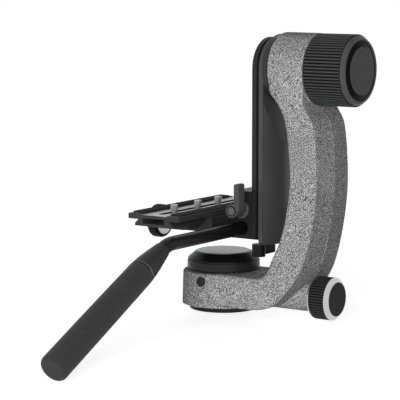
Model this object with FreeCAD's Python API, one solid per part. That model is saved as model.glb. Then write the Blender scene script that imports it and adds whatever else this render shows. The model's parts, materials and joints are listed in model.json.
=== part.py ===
import FreeCAD, Part
import math
import os

# ---------------------------------------------------------------------------
# Gimbal tripod head.  Millimetres, +Z up.
# Origin: centre of the base's underside, on the pan axis.
# +X runs along the tilt axis, from the swing arm towards the tilt knob.
# +Y is the way the lens points, so the pan bar reaches back along -Y.
# ---------------------------------------------------------------------------

V = FreeCAD.Vector
X_AXIS = V(1, 0, 0)
Y_AXIS = V(0, 1, 0)
Z_AXIS = V(0, 0, 1)

# --- Clearances ------------------------------------------------------------
run_gap = 0.3          # between faces that turn past each other
slide_gap = 0.1        # between flat guide faces
shaft_gap = 0.05       # radial, shafts in their bores

# --- Base and pan axis -----------------------------------------------------
base_r = 30.0
base_h = 4.5
base_edge = 0.8        # chamfer round the foot
thread_r = 3.97        # minor radius of the 3/8 inch tripod thread
thread_depth = 12.0
insert_wall = 2.6      # wall of the steel thread insert
spigot_r = 24.0        # step of the base that centres the housing
spigot_h = 3.0
foot_r = 20.0          # flange of the pan spindle
foot_h = 3.0
spindle_r = 9.0
base_screw_circle_r = 14.5
base_screw_r = 2.0
base_screw_head_r = 3.6
base_screw_count = 3
drum_r = 13.0          # brake drum on the spindle
brake_lining = 3.4     # thickness of the brake shoe
pan_bearing_r = 17.0
pan_bearing_h = 4.0
spindle_nut_r = 13.0
spindle_nut_h = 4.0

# --- Pan housing and its caps ----------------------------------------------
housing_r = 36.0
housing_draft = 0.8    # how much narrower the housing is at its top
housing_top_z = 34.0
housing_edge = 2.0     # rounding of its top edge
cap_shadow_h = 1.4     # height of the neck under the cap ring
cap_neck_r = 28.5
cap_ring_r = 31.6
cap_ring_h = 7.4
cap_groove_h = 0.8
cap_groove_depth = 1.2
cap_lip_r = 31.0
cap_lip_h = 0.9
cap_cone_h = 5.6
cap_cone_top_r = 24.3
cap_wall = 3.0
cap_disc_r = 23.1
cap_disc_h = 1.2
cap_disc_proud = 0.6
cap_dimple_r = 0.8
plug_r = 4.4
plug_depth = 3.0
plug_sunk = 0.3
plug_z = 27.2

# --- C-shaped arm ----------------------------------------------------------
tilt_axis_z = 211.0
head_r = 30.3
head_x = 62.4          # left face of the head
head_length = 33.8
arm_reach = 81.7       # furthest reach of the inner face from the pan axis
arm_thick = 27.3       # thickness of the arm at that height
arm_ridge = 2.1        # how far the outer face is proud along its middle
arm_edge = 2.0         # rounding of the arm's outer edges
arm_inner_edge = 4.0   # rounding of its inner edges
arm_width_head = 59.8
arm_width_mid = 53.4
arm_foot_inset = 3.5   # from the housing's sides in to the arm's foot
arm_under_z = 6.9      # underside of the lower arm
pocket_gap = 1.2       # room between the tilt knob and the pocket below it
pocket_lip = 0.8       # how far the arm's front corners pass the head's end
arm_foot_x = 48.2      # where the inner edge meets the lower arm's top
# Points on the edges, as (share of the way in from the furthest reach, height as a share of
# the tilt axis).  The upper points lead to the head, the lower ones to the arm's foot.
INNER_UPPER = ((0.736, 0.882), (0.461, 0.844), (0.290, 0.806), (0.114, 0.711), (0.0, 0.592))
INNER_LOWER = ((0.042, 0.474), (0.149, 0.379), (0.313, 0.294), (0.513, 0.223))
OUTER_LOWER = (
    (0.627, 0.055), (0.420, 0.111), (0.269, 0.172), (0.176, 0.237), (0.092, 0.332),
    (0.031, 0.436),
)
OUTER_UPPER = ((0.0, 0.569), (0.062, 0.664), (0.227, 0.758), (0.461, 0.806), (0.750, 0.832))
# Arm's half width, as (share of the widening, height as a share of the tilt axis)
FLARE_LOWER = ((1.0, 0.0), (0.96, 0.1), (0.52, 0.22), (0.24, 0.34), (0.05, 0.52), (0.0, 0.70))
FLARE_UPPER = ((0.12, 0.80), (0.72, 0.91), (1.0, 1.0))

# --- Tilt axis -------------------------------------------------------------
shaft_r = 10.0
tilt_bearing_r = 21.0
tilt_bearing_w = 7.0
bearing_inset = 1.6    # from the head's faces to the bearings
disc_count = 3         # friction discs of each kind
disc_thick = 1.5
disc_lap = 1.0         # radial room between discs and the parts they pass
collar_r = 16.0
collar_wall = 3.0
collar_length = 14.0
shaft_nut_h = 3.0
tilt_knob_r = 30.07
tilt_knob_gap = 0.4    # between the head and the knob
tilt_grip_length = 34.6
tilt_knob_ribs = 72
tilt_rib_depth = 0.9
grip_wall = 3.2
bezel_h = 3.8
bezel_edge = 1.5
dish_r = 25.8          # inner edge of the bezel's rim
dish_depth = 0.9       # step down inside the rim
badge_r = 19.8
badge_proud = 1.4      # how far the badge stands out of the rim
badge_h = 2.4

# --- Pan lock knob ---------------------------------------------------------
pan_knob_z = 18.4
pan_knob_r = 18.2
boss_r = 12.8
boss_x = 94.2          # end face of the boss that carries the knob
pan_ring_h = 1.9       # bright ring at the knob's back
pan_grip_length = 15.0
pan_knob_ribs = 48
pan_rib_depth = 0.7
pan_bevel_h = 3.2
pan_face_r = 14.5
pan_face_h = 1.0
lock_rod_r = 3.0

# --- Swing arm (rail) ------------------------------------------------------
rail_x = 45.0          # outer face of the rail
rail_width = 52.0
rail_plate = 4.75
rail_neck = 2.35       # width of the groove behind the rail plate
groove_depth = 4.2
back_plate = 4.2
back_bulge = 6.8
back_drop = 3.5        # how far the back reaches below the rail plate
hub_room = 0.2         # between the hub and the slanted top of the bulge
back_slant = 38.0      # height of that slant
rail_bottom_z = 66.0
rail_corner_r = 5.0
rail_chamfer = 0.7
hub_r = 28.8
rail_screw_circle_r = 15.0
rail_screw_r = 2.0
rail_screw_head_r = 3.8
rail_screw_count = 4

# --- Lever under the rail --------------------------------------------------
end_hub_r = 3.9
end_hub_h = 9.0
end_finger_r = 5.8
end_finger_x = 0.0     # finger's middle from the pivot
end_finger_y = 19.5
end_finger_h = 10.4
end_neck_r = 2.9       # neck of the hub, beside the rail's back
end_screw_r = 1.5
end_screw_grip = 10.0  # how far the screw goes into the rail

# --- Sliding block on the rail ---------------------------------------------
block_x = 26.0         # left face of the block
block_shoulder = 4.2   # how far its upper part is set back from that face
block_half_y = 30.0
block_z = 67.5
block_h = 40.5
block_edge = 1.5
lip_thick = 1.5
pad_half_y = 9.0
pad_half_z = 7.0
pad_thick = 2.4
lever_x = 38.1
lever_z = 92.5
lever_shaft_r = 4.0
lever_reach = 16.0     # how far the lever's boss stands out of the block
lever_boss_r = 5.7
lever_disc_r = 7.8
lever_disc_h = 2.5
finger_offset = 4.9    # finger's middle from the lever axis
finger_wide = 5.2
finger_deep = 8.5
finger_top_z = 115.6
lever_cap_r = 4.3
lever_cap_h = 1.6

# --- Platform and its clamp ------------------------------------------------
platform_half_y = (57.0, 20.0)   # clamp's reach towards -Y and +Y
tongue_y = 77.0
tongue_half = 17.0
tongue_slant = 5.4
tongue_h = 4.8
floor_h = 8.0
platform_screw_r = 2.0
platform_screw_length = 12.0
jaw_edge = 1.2
jaw_wall = 8.6
jaw_travel = 3.0
screw_r = 3.0
jaw_screw_y = -45.0
guide_pin_r = 2.0
guide_pin_y = (-22.0, 8.0)
jaw_knob_r = 14.2
jaw_knob_h = 7.4
jaw_collar_h = 1.5
jaw_neck_r = 6.5
jaw_neck_h = 3.2
jaw_knob_ribs = 36
jaw_rib_depth = 0.6

# --- Quick-release plate ---------------------------------------------------
plate_width = 51.0
plate_front_y = -105.0
plate_length = 140.0
plate_top_z = 93.2
flange_h = 4.6
dovetail_h = 5.5
dovetail_neck = 15.5   # half width under the flange
dovetail_slope = 3.3
channel_half = 13.4
channel_depth = 0.8
hollow_half = 10.9
hollow_h = 4.4
hollow_floor = 2.2
slot_half = 3.4
slot_inset = 13.0
under_slot_half = 6.0
plate_corner_r = 4.0
strip_h = 1.2
strip_width = 10.6
strip_inset = 5.0
strip_ribs = 4
camera_screw_r = 3.1
camera_screw_proud = 6.2
camera_neck_r = 2.6    # plain shank in the slot
camera_neck_proud = 1.9    # of the channel's floor, up to the thread
screw_head_r = 7.0
screw_head_h = 2.5
washer_r = 8.5
washer_h = 0.9
camera_screw_y = (-75.0, -40.0, -9.0)

# --- Pan bar ---------------------------------------------------------------
bar_x = 38.5
bar_z = 76.5
tube_r = 5.8
tube_wall = 1.6
socket_depth = 24.0
bend_y = -140.0        # where the tube's straight run and the grip's axis meet
bend_r = 32.0
bar_angle = 27.0       # droop of the grip below the level
adapter_start = 8.0    # along the grip's axis, from the bend point
adapter_length = 30.5
adapter_r = 10.6
adapter_flat = 1.4
adapter_wall = 0.9     # at its thin end, on the tube
grip_length = 127.0
grip_r_start = 11.0
grip_r_end = 11.7
grip_round = 3.0
end_cap_h = 3.0

# --- Places worked out from the sizes above --------------------------------
insert_r = thread_r + insert_wall
spigot_top_z = base_h + spigot_h
foot_top_z = spigot_top_z + foot_h
lower_bearing_z = foot_top_z + run_gap
drum_z = lower_bearing_z + pan_bearing_h + run_gap
drum_h = 2 * (pan_knob_z - drum_z)
upper_bearing_z = drum_z + drum_h + 2 * run_gap
spindle_nut_z = upper_bearing_z + pan_bearing_h + run_gap
spindle_top_z = spindle_nut_z + spindle_nut_h + 1.0
cap_ring_z = housing_top_z + cap_shadow_h
cap_cone_z = cap_ring_z + cap_ring_h + cap_groove_h
cap_top_z = cap_cone_z + cap_lip_h + cap_cone_h
head_end_x = head_x + head_length
outer_reach = arm_reach + arm_thick
knob_x = head_end_x + tilt_knob_gap
bezel_x = knob_x + tilt_grip_length
arm_width_base = 2 * (housing_r - arm_foot_inset)
under_bend_x = outer_reach * 0.4
arm_start_x = math.sqrt(housing_r ** 2 - (arm_width_base / 2) ** 2) * 0.8
rail_half = rail_width / 2
neck_x = rail_x + rail_plate
back_x = neck_x + rail_neck
back_end_x = back_x + back_plate
hub_end_x = head_x - run_gap * 3
back_top_z = tilt_axis_z - hub_r - hub_room
end_lever_top_z = rail_bottom_z - back_drop - run_gap
block_top_z = block_z + block_h
channel_x = rail_x - slide_gap
lever_front_y = -block_half_y - lever_reach
flange_z = plate_top_z - flange_h
dovetail_z = flange_z - dovetail_h
dovetail_half = dovetail_neck + dovetail_slope
floor_z = dovetail_z - run_gap
platform_z = floor_z - floor_h
jaw_screw_z = floor_z - floor_h / 2
jaw_top_z = flange_z - run_gap
jaw_outer_x = dovetail_half + jaw_wall
hollow_z = dovetail_z + hollow_floor
roof_z = hollow_z + hollow_h
channel_z = plate_top_z - channel_depth
washer_z = roof_z - slide_gap - washer_h
screw_head_z = washer_z - slide_gap - screw_head_h
camera_thread_z = channel_z + camera_neck_proud
bar_dir = V(0, -math.cos(math.radians(bar_angle)), -math.sin(math.radians(bar_angle)))
bend_point = V(bar_x, bend_y, bar_z)
adapter_end = adapter_start + adapter_length


# --- Shape helpers ---------------------------------------------------------
def placed(shape, origin, axis):
    """Moves a shape built upwards from the origin so that it points along axis."""
    shape.Placement = FreeCAD.Placement(origin, FreeCAD.Rotation(Z_AXIS, axis))
    return shape


def turned(profile, origin, axis):
    """Solid of revolution from (radius, height) pairs, height counted along axis."""
    points = [V(r, 0, h) for r, h in profile]
    face = Part.Face(Part.makePolygon(points + points[:1]))
    solid = face.revolve(V(0, 0, 0), Z_AXIS, 360)
    if solid.Volume < 0:
        solid.reverse()
    return placed(solid, origin, axis)


def rod(radius, length, origin, axis):
    return Part.makeCylinder(radius, length, origin, axis)


def ring(r_in, r_out, length, origin, axis):
    profile = [(r_in, 0), (r_out, 0), (r_out, length), (r_in, length)]
    return turned(profile, origin, axis)


def brick(x, y, z):
    """Box from three (low, high) pairs."""
    return Part.makeBox(x[1] - x[0], y[1] - y[0], z[1] - z[0], V(x[0], y[0], z[0]))


def extruded(points, step):
    return Part.Face(Part.makePolygon(points + points[:1])).extrude(step)


def mirrored_outline(half):
    """Closes a right-hand (x, z) half outline about x = 0."""
    return half + [(-x, z) for x, z in reversed(half) if x > 0]


def edges_along(solid, direction):
    """Straight edges of a solid that run along a direction."""
    found = []
    for edge in solid.Edges:
        if edge.Curve.TypeId == "Part::GeomLine":
            if abs(edge.Curve.Direction.dot(direction)) > 0.999:
                found.append(edge)
    return found


def on_circle(radius, count, start=0.0):
    """Places on a circle in the XY plane, as (x, y) pairs."""
    turns = [math.radians(start + 360.0 * i / count) for i in range(count)]
    return [(radius * math.cos(a), radius * math.sin(a)) for a in turns]


def ribbed_sleeve(r_out, r_in, length, ribs, depth, origin, axis):
    """Sleeve with straight trapezoid ribs along its length."""
    shares = ((0.0, 0.0), (0.46, 0.0), (0.60, depth), (0.86, depth))
    points = []
    for i in range(ribs):
        for share, sink in shares:
            angle = 2 * math.pi * (i + share) / ribs
            radius = r_out - sink
            points.append(V(radius * math.cos(angle), radius * math.sin(angle), 0))
    solid = extruded(points, V(0, 0, length)).cut(rod(r_in, length, V(0, 0, 0), Z_AXIS))
    return placed(solid, origin, axis)


def bearing(r_in, r_out, width, origin, axis):
    """Ball bearing as one ring, with its shields set back between the races."""
    race = (r_out - r_in) * 0.28
    sink = width * 0.1
    profile = [
        (r_in, 0), (r_in + race, 0), (r_in + race, sink), (r_out - race, sink),
        (r_out - race, 0), (r_out, 0), (r_out, width), (r_out - race, width),
        (r_out - race, width - sink), (r_in + race, width - sink), (r_in + race, width),
        (r_in, width),
    ]
    return turned(profile, origin, axis)


def save(name, *solids):
    """Writes one node; several solids become a group."""
    shape = solids[0] if len(solids) == 1 else Part.makeCompound(list(solids))
    shape.exportStep("parts/%s.step" % name)


# --- Base: stands still on the tripod --------------------------------------
def base_screw_places():
    return on_circle(base_screw_circle_r, base_screw_count, 90)


def base_screw(x, y):
    head_h = base_screw_head_r - base_screw_r
    end = foot_top_z - 0.5 - 0.4
    profile = [
        (0, 0), (base_screw_head_r, 0), (base_screw_r, head_h), (base_screw_r, end), (0, end),
    ]
    return turned(profile, V(x, y, 0.4), Z_AXIS)


def make_base():
    screws = [base_screw(x, y) for x, y in base_screw_places()]
    recess = [rod(base_screw_head_r, 0.4, V(x, y, 0), Z_AXIS) for x, y in base_screw_places()]
    disc = turned([
        (insert_r, 0), (base_r - base_edge, 0), (base_r, base_edge), (base_r, base_h),
        (spigot_r, base_h), (spigot_r, spigot_top_z), (insert_r, spigot_top_z),
    ], V(0, 0, 0), Z_AXIS)
    save("base_ring", disc.cut(Part.makeCompound(screws + recess)))
    save("thread_insert", ring(thread_r, insert_r, thread_depth, V(0, 0, 0), Z_AXIS))
    nut_seat_r = spindle_r - 1.5
    spindle = turned([
        (0, thread_depth), (insert_r, thread_depth), (insert_r, spigot_top_z),
        (foot_r, spigot_top_z), (foot_r, foot_top_z), (spindle_r, foot_top_z),
        (spindle_r, drum_z), (drum_r, drum_z), (drum_r, drum_z + drum_h),
        (spindle_r, drum_z + drum_h), (spindle_r, spindle_nut_z),
        (nut_seat_r, spindle_nut_z), (nut_seat_r, spindle_top_z), (0, spindle_top_z),
    ], V(0, 0, 0), Z_AXIS)
    save("pan_spindle", spindle.cut(Part.makeCompound(screws)))
    save("base_screws", *screws)
    save("spindle_nut", ring(nut_seat_r, spindle_nut_r, spindle_nut_h,
                             V(0, 0, spindle_nut_z), Z_AXIS))


# --- Arm: the casting and what is fixed to it -------------------------------
def edge_points(table, reach, end_x, y):
    """Points in the plane at y, from shares of the way from reach to end_x."""
    return [V(reach + (end_x - reach) * way, y, share * tilt_axis_z) for way, share in table]


def arm_outline(y, ridge):
    """Closed C outline in the plane at y; ridge pushes the outer edge outwards."""
    inner = (edge_points(INNER_UPPER, arm_reach, head_x, y)
             + edge_points(INNER_LOWER, arm_reach, arm_foot_x, y))
    outer = (edge_points(OUTER_LOWER, outer_reach, under_bend_x, y)
             + edge_points(OUTER_UPPER, outer_reach, head_end_x, y))
    pushed = []
    for i, point in enumerate(outer):
        along = (outer[min(i + 1, len(outer) - 1)] - outer[max(i - 1, 0)]).normalize()
        fade = min(1.0, i / 2, (len(outer) - 1 - i) / 2)
        pushed.append(point + V(along.z, 0, -along.x) * (ridge * fade))
    start = V(arm_start_x, y, arm_under_z)
    bend = V(under_bend_x, y, arm_under_z)
    shelf = V(head_end_x + pocket_lip, y, tilt_axis_z - head_r - 0.5)
    top = V(head_end_x + pocket_lip, y, tilt_axis_z)
    inner_top = V(head_x, y, tilt_axis_z)
    inner_bend = V(head_x, y, tilt_axis_z - head_r / 2)
    inner_foot = V(arm_foot_x, y, housing_top_z)
    outside = Part.BSplineCurve()
    outside.interpolate([start, bend] + pushed + [shelf, top],
                        InitialTangent=X_AXIS, FinalTangent=Z_AXIS)
    inside = Part.BSplineCurve()
    inside.interpolate([inner_bend] + inner + [inner_foot],
                       InitialTangent=-Z_AXIS, FinalTangent=-X_AXIS)
    floor_end = V(arm_start_x, y, housing_top_z)
    return Part.Wire([
        outside.toShape(), Part.makeLine(top, inner_top), Part.makeLine(inner_top, inner_bend),
        inside.toShape(), Part.makeLine(inner_foot, floor_end), Part.makeLine(floor_end, start),
    ])


def arm_width_solid():
    """Front outline of the arm: wide at the base, narrow in the middle."""
    halves = []
    for table, end_width in ((FLARE_LOWER, arm_width_base), (FLARE_UPPER, arm_width_head)):
        for share, height in table:
            halves.append(((arm_width_mid + (end_width - arm_width_mid) * share) / 2, height))
    sides = []
    for sign in (1, -1):
        curve = Part.BSplineCurve()
        curve.interpolate([V(0, sign * half, share * tilt_axis_z) for half, share in halves],
                          InitialTangent=Z_AXIS, FinalTangent=Z_AXIS)
        sides.append(curve)
    low = Part.makeLine(sides[1].StartPoint, sides[0].StartPoint)
    high = Part.makeLine(sides[0].EndPoint, sides[1].EndPoint)
    wire = Part.Wire(Part.__sortEdges__([low, sides[0].toShape(), high, sides[1].toShape()]))
    return Part.Face(wire).extrude(V(2 * outer_reach, 0, 0))


def arm_body():
    """The C itself with its long edges rounded, made as one half and its mirror image."""
    fall = 1 - 2 * arm_width_base / arm_width_mid
    sections = [arm_outline(0, arm_ridge), arm_outline(arm_width_base, arm_ridge * fall)]
    half = Part.makeLoft(sections, True, True).common(arm_width_solid()).Solids[0]
    for radius, inner in ((arm_edge, False), (arm_inner_edge, True)):
        half = half.makeFillet(radius, long_edges(half, inner))
    return half.fuse(half.mirror(V(0, 0, 0), Y_AXIS))


def long_edges(half, inner):
    """The arm's long side edges along its inner or its outer curve."""
    found = []
    for edge in half.Edges:
        middle = edge.valueAt((edge.FirstParameter + edge.LastParameter) / 2)
        if edge.Length > tilt_axis_z / 2 and middle.y > arm_width_mid * 0.4:
            if (middle.x < arm_reach + arm_thick / 2) == inner:
                found.append(edge)
    return found


def housing_body():
    low = base_h + run_gap
    body = Part.makeCone(housing_r, housing_r - housing_draft, housing_top_z - low, V(0, 0, low))
    top = [e for e in body.Edges if len(e.Vertexes) == 1 and e.BoundBox.ZMin > housing_top_z - 1]
    return body.makeFillet(housing_edge, top)


def arm_hollows():
    """Everything bored out of the casting."""
    low = base_h + run_gap
    pan_bore = turned([
        (0, low - 1), (spigot_r + run_gap, low - 1), (spigot_r + run_gap, spigot_top_z + run_gap),
        (foot_r + run_gap, spigot_top_z + run_gap), (foot_r + run_gap, lower_bearing_z),
        (pan_bearing_r, lower_bearing_z), (pan_bearing_r, housing_top_z + 1),
        (0, housing_top_z + 1),
    ], V(0, 0, 0), Z_AXIS)
    tilt_bore = rod(tilt_bearing_r, head_length + 2, V(head_x - 1, 0, tilt_axis_z), X_AXIS)
    rod_bore = rod(lock_rod_r + shaft_gap, boss_x, V(drum_r, 0, pan_knob_z), X_AXIS)
    knob_room = rod(tilt_knob_r + pocket_gap, outer_reach, V(head_end_x, 0, tilt_axis_z), X_AXIS)
    plug_room = rod(plug_r, 2 * plug_depth, V(0, -housing_r + plug_depth, plug_z), -Y_AXIS)
    return Part.makeCompound([pan_bore, tilt_bore, rod_bore, plug_room]), knob_room


def make_arm_casting():
    bores, knob_room = arm_hollows()
    head = rod(head_r, head_length, V(head_x, 0, tilt_axis_z), X_AXIS)
    rims = [e for e in head.Edges if len(e.Vertexes) == 1]
    head = head.makeFillet(1.2, rims)
    boss = rod(boss_r, boss_x - housing_r, V(housing_r, 0, pan_knob_z), X_AXIS)
    body = arm_body().cut(knob_room).fuse([head, housing_body(), boss])
    save("arm_casting", body.cut(bores).removeSplitter())


def make_housing_fittings():
    plug_face = -housing_r + plug_sunk
    plug = rod(plug_r, plug_depth - plug_sunk, V(0, plug_face, plug_z), Y_AXIS)
    save("housing_plug", plug)
    bearings = [
        bearing(spindle_r + shaft_gap, pan_bearing_r, pan_bearing_h, V(0, 0, z), Z_AXIS)
        for z in (lower_bearing_z, upper_bearing_z)
    ]
    save("pan_bearings", *bearings)
    shoe = ring(drum_r + run_gap, drum_r + brake_lining, drum_h - 1.0,
                V(0, 0, drum_z + 0.5), Z_AXIS)
    save("pan_brake_shoe", shoe.common(brick((0, 2 * drum_r), (-5, 5), (0, housing_top_z))))


def make_caps():
    ring_top = cap_ring_z + cap_ring_h
    room_r = spindle_nut_r + 4
    lower = turned([
        (room_r, housing_top_z), (cap_neck_r, housing_top_z), (cap_neck_r, cap_ring_z),
        (cap_ring_r - 0.5, cap_ring_z), (cap_ring_r, cap_ring_z + 0.5),
        (cap_ring_r, ring_top - 0.5), (cap_ring_r - 0.5, ring_top),
        (cap_ring_r - cap_groove_depth, ring_top), (cap_ring_r - cap_groove_depth, cap_cone_z),
        (room_r, cap_cone_z),
    ], V(0, 0, 0), Z_AXIS)
    save("cap_ring", lower)
    seat_z = cap_top_z + cap_disc_proud - cap_disc_h
    cone = turned([
        (0, cap_cone_z + cap_wall), (room_r, cap_cone_z + cap_wall), (room_r, cap_cone_z),
        (cap_lip_r, cap_cone_z), (cap_lip_r, cap_cone_z + cap_lip_h),
        (cap_cone_top_r, cap_top_z), (cap_disc_r, cap_top_z), (cap_disc_r, seat_z), (0, seat_z),
    ], V(0, 0, 0), Z_AXIS)
    save("cap_cone", cone)
    disc = turned([
        (0, 0), (cap_disc_r, 0), (cap_disc_r, cap_disc_h - 0.3), (cap_disc_r - 0.3, cap_disc_h),
        (cap_dimple_r, cap_disc_h), (0, cap_disc_h - cap_dimple_r),
    ], V(0, 0, seat_z), Z_AXIS)
    save("cap_disc", disc)


# --- Tilt axis --------------------------------------------------------------
def tilt_place(x):
    return V(x, 0, tilt_axis_z)


def bearing_places():
    first = head_x + bearing_inset
    last = head_end_x - bearing_inset - tilt_bearing_w
    return first, last


def disc_places():
    """Left faces of the friction discs, in the order fixed, turning, fixed..."""
    first, last = bearing_places()
    start = first + tilt_bearing_w
    pitch = (last - start) / (2 * disc_count)
    return [start + pitch * (i + 0.5) - disc_thick / 2 for i in range(2 * disc_count)]


def make_tilt_fixed():
    bearings = [
        bearing(shaft_r + shaft_gap, tilt_bearing_r, tilt_bearing_w, tilt_place(x), X_AXIS)
        for x in bearing_places()
    ]
    save("tilt_bearings", *bearings)
    discs = [
        ring(shaft_r + disc_lap, tilt_bearing_r, disc_thick, tilt_place(x), X_AXIS)
        for x in disc_places()[0::2]
    ]
    save("tilt_fixed_discs", *discs)
    seat = tilt_bearing_r
    flange_x = head_end_x - bearing_inset
    collar = turned([
        (collar_r - collar_wall, flange_x), (seat, flange_x), (seat, head_end_x - 0.2),
        (collar_r, head_end_x - 0.2), (collar_r, head_end_x + collar_length),
        (collar_r - collar_wall, head_end_x + collar_length),
    ], tilt_place(0), X_AXIS)
    save("knob_collar", collar)


def make_tilt_turning():
    nut_r = collar_r - collar_wall - run_gap
    nut_x = head_end_x - bearing_inset + run_gap
    bolt_r = shaft_r * 0.7
    shaft = turned([
        (0, back_x), (shaft_r, back_x), (shaft_r, nut_x), (bolt_r, nut_x),
        (bolt_r, nut_x + shaft_nut_h), (0, nut_x + shaft_nut_h),
    ], tilt_place(0), X_AXIS)
    save("tilt_shaft", shaft)
    discs = [
        ring(shaft_r, tilt_bearing_r - disc_lap, disc_thick, tilt_place(x), X_AXIS)
        for x in disc_places()[1::2]
    ]
    save("tilt_turning_discs", *discs)
    save("tilt_shaft_nut", ring(bolt_r, nut_r, shaft_nut_h, tilt_place(nut_x), X_AXIS))
    hub = turned([
        (shaft_r, back_end_x), (hub_r - 0.6, back_end_x), (hub_r, back_end_x + 0.6),
        (hub_r, hub_end_x - 0.6), (hub_r - 0.6, hub_end_x), (shaft_r, hub_end_x),
    ], tilt_place(0), X_AXIS)
    save("hub_disc", hub.cut(Part.makeCompound(rail_screws())))


def make_tilt_knob():
    sleeve_r = tilt_knob_r - grip_wall
    bore_r = collar_r + shaft_gap
    end = bezel_x
    web = end - 6.0
    core = turned([
        (bore_r, knob_x), (bore_r + 4, knob_x), (bore_r + 4, web), (sleeve_r - 3, web),
        (sleeve_r - 3, knob_x + 1), (sleeve_r, knob_x + 1), (sleeve_r, end), (0, end),
        (0, web), (bore_r, web),
    ], tilt_place(0), X_AXIS)
    save("tilt_knob_core", core)
    save("tilt_knob_grip", ribbed_sleeve(tilt_knob_r, sleeve_r, tilt_grip_length, tilt_knob_ribs,
                                         tilt_rib_depth, tilt_place(knob_x), X_AXIS))
    front = end + bezel_h
    face = front + badge_proud
    seat = face - badge_h
    bezel = turned([
        (0, end), (tilt_knob_r, end), (tilt_knob_r, front - bezel_edge),
        (tilt_knob_r - bezel_edge * 0.3, front - bezel_edge * 0.3),
        (tilt_knob_r - bezel_edge, front), (dish_r + 0.3, front), (dish_r, front - 0.3),
        (dish_r, front - dish_depth), (badge_r, face - 0.6), (badge_r, seat), (0, seat),
    ], tilt_place(0), X_AXIS)
    save("tilt_knob_bezel", bezel)
    badge = turned([
        (0, 0), (badge_r, 0), (badge_r, badge_h - 0.3), (badge_r - 0.3, badge_h),
        (badge_r - 4.0, badge_h), (badge_r - 4.3, badge_h - 0.3), (badge_r - 4.8, badge_h - 0.3),
        (badge_r - 5.1, badge_h), (0, badge_h),
    ], tilt_place(seat), X_AXIS)
    save("tilt_knob_badge", badge)


# --- Pan lock knob ----------------------------------------------------------
def make_pan_knob():
    place = V(0, 0, pan_knob_z)
    back = boss_x + run_gap
    grip = back + pan_ring_h
    front = grip + pan_grip_length
    face = front + pan_bevel_h
    sleeve_r = pan_knob_r - 2.4
    core = turned([
        (lock_rod_r, back), (pan_knob_r - 1.2, back), (pan_knob_r - 0.4, back + 0.8),
        (pan_knob_r - 0.4, grip), (sleeve_r, grip), (sleeve_r, front), (pan_knob_r, front),
        (pan_face_r + 0.2, face), (pan_face_r, face), (pan_face_r, face - pan_face_h),
        (lock_rod_r, face - pan_face_h),
    ], place, X_AXIS)
    save("pan_knob_core", core)
    save("pan_knob_grip", ribbed_sleeve(pan_knob_r, sleeve_r, pan_grip_length, pan_knob_ribs,
                                        pan_rib_depth, place + V(grip, 0, 0), X_AXIS))
    disc = turned([
        (0, 0), (pan_face_r, 0), (pan_face_r, pan_face_h - 0.2),
        (pan_face_r - 0.4, pan_face_h + 0.2), (0, pan_face_h + 0.2),
    ], place + V(face - pan_face_h, 0, 0), X_AXIS)
    save("pan_knob_face", disc)
    tip = drum_r + brake_lining + run_gap
    save("pan_lock_rod", rod(lock_rod_r, face - pan_face_h - tip, place + V(tip, 0, 0), X_AXIS))


# --- Swing arm --------------------------------------------------------------
def rail_outline(x, inset, bottom):
    """Upright outline with a round top about the tilt axis, in the plane at x."""
    half = rail_half - inset
    low = bottom + inset
    corner = rail_corner_r
    turn = corner * (1 - math.sqrt(0.5))
    top = tilt_axis_z + half
    edges = [
        Part.makeLine(V(x, -half + corner, low), V(x, half - corner, low)),
        Part.Arc(V(x, half - corner, low), V(x, half - turn, low + turn),
                 V(x, half, low + corner)).toShape(),
        Part.makeLine(V(x, half, low + corner), V(x, half, tilt_axis_z)),
        Part.Arc(V(x, half, tilt_axis_z), V(x, 0, top), V(x, -half, tilt_axis_z)).toShape(),
        Part.makeLine(V(x, -half, tilt_axis_z), V(x, -half, low + corner)),
        Part.Arc(V(x, -half, low + corner), V(x, -half + turn, low + turn),
                 V(x, -half + corner, low)).toShape(),
    ]
    return Part.Face(Part.Wire(edges))


def rail_screws():
    """Countersunk screws from the rail's outer face into the hub."""
    head_h = rail_screw_head_r - rail_screw_r
    start = rail_x + 0.3
    length = hub_end_x - 1.0 - start
    profile = [
        (0, 0), (rail_screw_head_r, 0), (rail_screw_r, head_h), (rail_screw_r, length), (0, length),
    ]
    return [
        turned(profile, V(start, y, tilt_axis_z + z), X_AXIS)
        for y, z in on_circle(rail_screw_circle_r, rail_screw_count, 45)
    ]


def make_rail():
    screws = Part.makeCompound(rail_screws())
    recess = Part.makeCompound([
        rod(rail_screw_head_r, 0.3, V(rail_x, y, tilt_axis_z + z), X_AXIS)
        for y, z in on_circle(rail_screw_circle_r, rail_screw_count, 45)
    ])
    plate = rail_outline(rail_x, 0, rail_bottom_z).extrude(V(rail_plate, 0, 0))
    front = [e for e in plate.Edges if e.BoundBox.XMax < rail_x + 0.01]
    plate = plate.makeChamfer(rail_chamfer, front)
    neck = rail_outline(neck_x, groove_depth, rail_bottom_z).extrude(V(rail_neck, 0, 0))
    save("rail_guide", plate.fuse(neck).cut([screws, recess, end_lever_screw()]))
    low = rail_bottom_z - back_drop
    flat = rail_outline(back_x, 0, low).extrude(V(back_plate, 0, 0))
    bow = Part.Arc(V(back_end_x, -rail_half + 1, low), V(back_end_x + back_bulge, 0, low),
                   V(back_end_x, rail_half - 1, low)).toShape()
    chord = Part.makeLine(V(back_end_x, rail_half - 1, low), V(back_end_x, -rail_half + 1, low))
    bulge = Part.Face(Part.Wire([bow, chord])).extrude(V(0, 0, back_top_z - low))
    far = back_end_x + back_bulge + 1
    slant = extruded([
        V(back_end_x, -rail_half, low), V(far, -rail_half, low),
        V(far, -rail_half, back_top_z - back_slant), V(back_end_x, -rail_half, back_top_z),
    ], V(0, rail_width, 0))
    bulge = bulge.common(slant)
    shaft_room = rod(shaft_r, rail_width, tilt_place(back_x), X_AXIS)
    save("rail_back", flat.fuse(bulge).cut([screws, shaft_room]))
    save("rail_screws", *rail_screws())


def end_lever_place():
    return V(back_x - end_neck_r - run_gap * 2, 0, end_lever_top_z)


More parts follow.
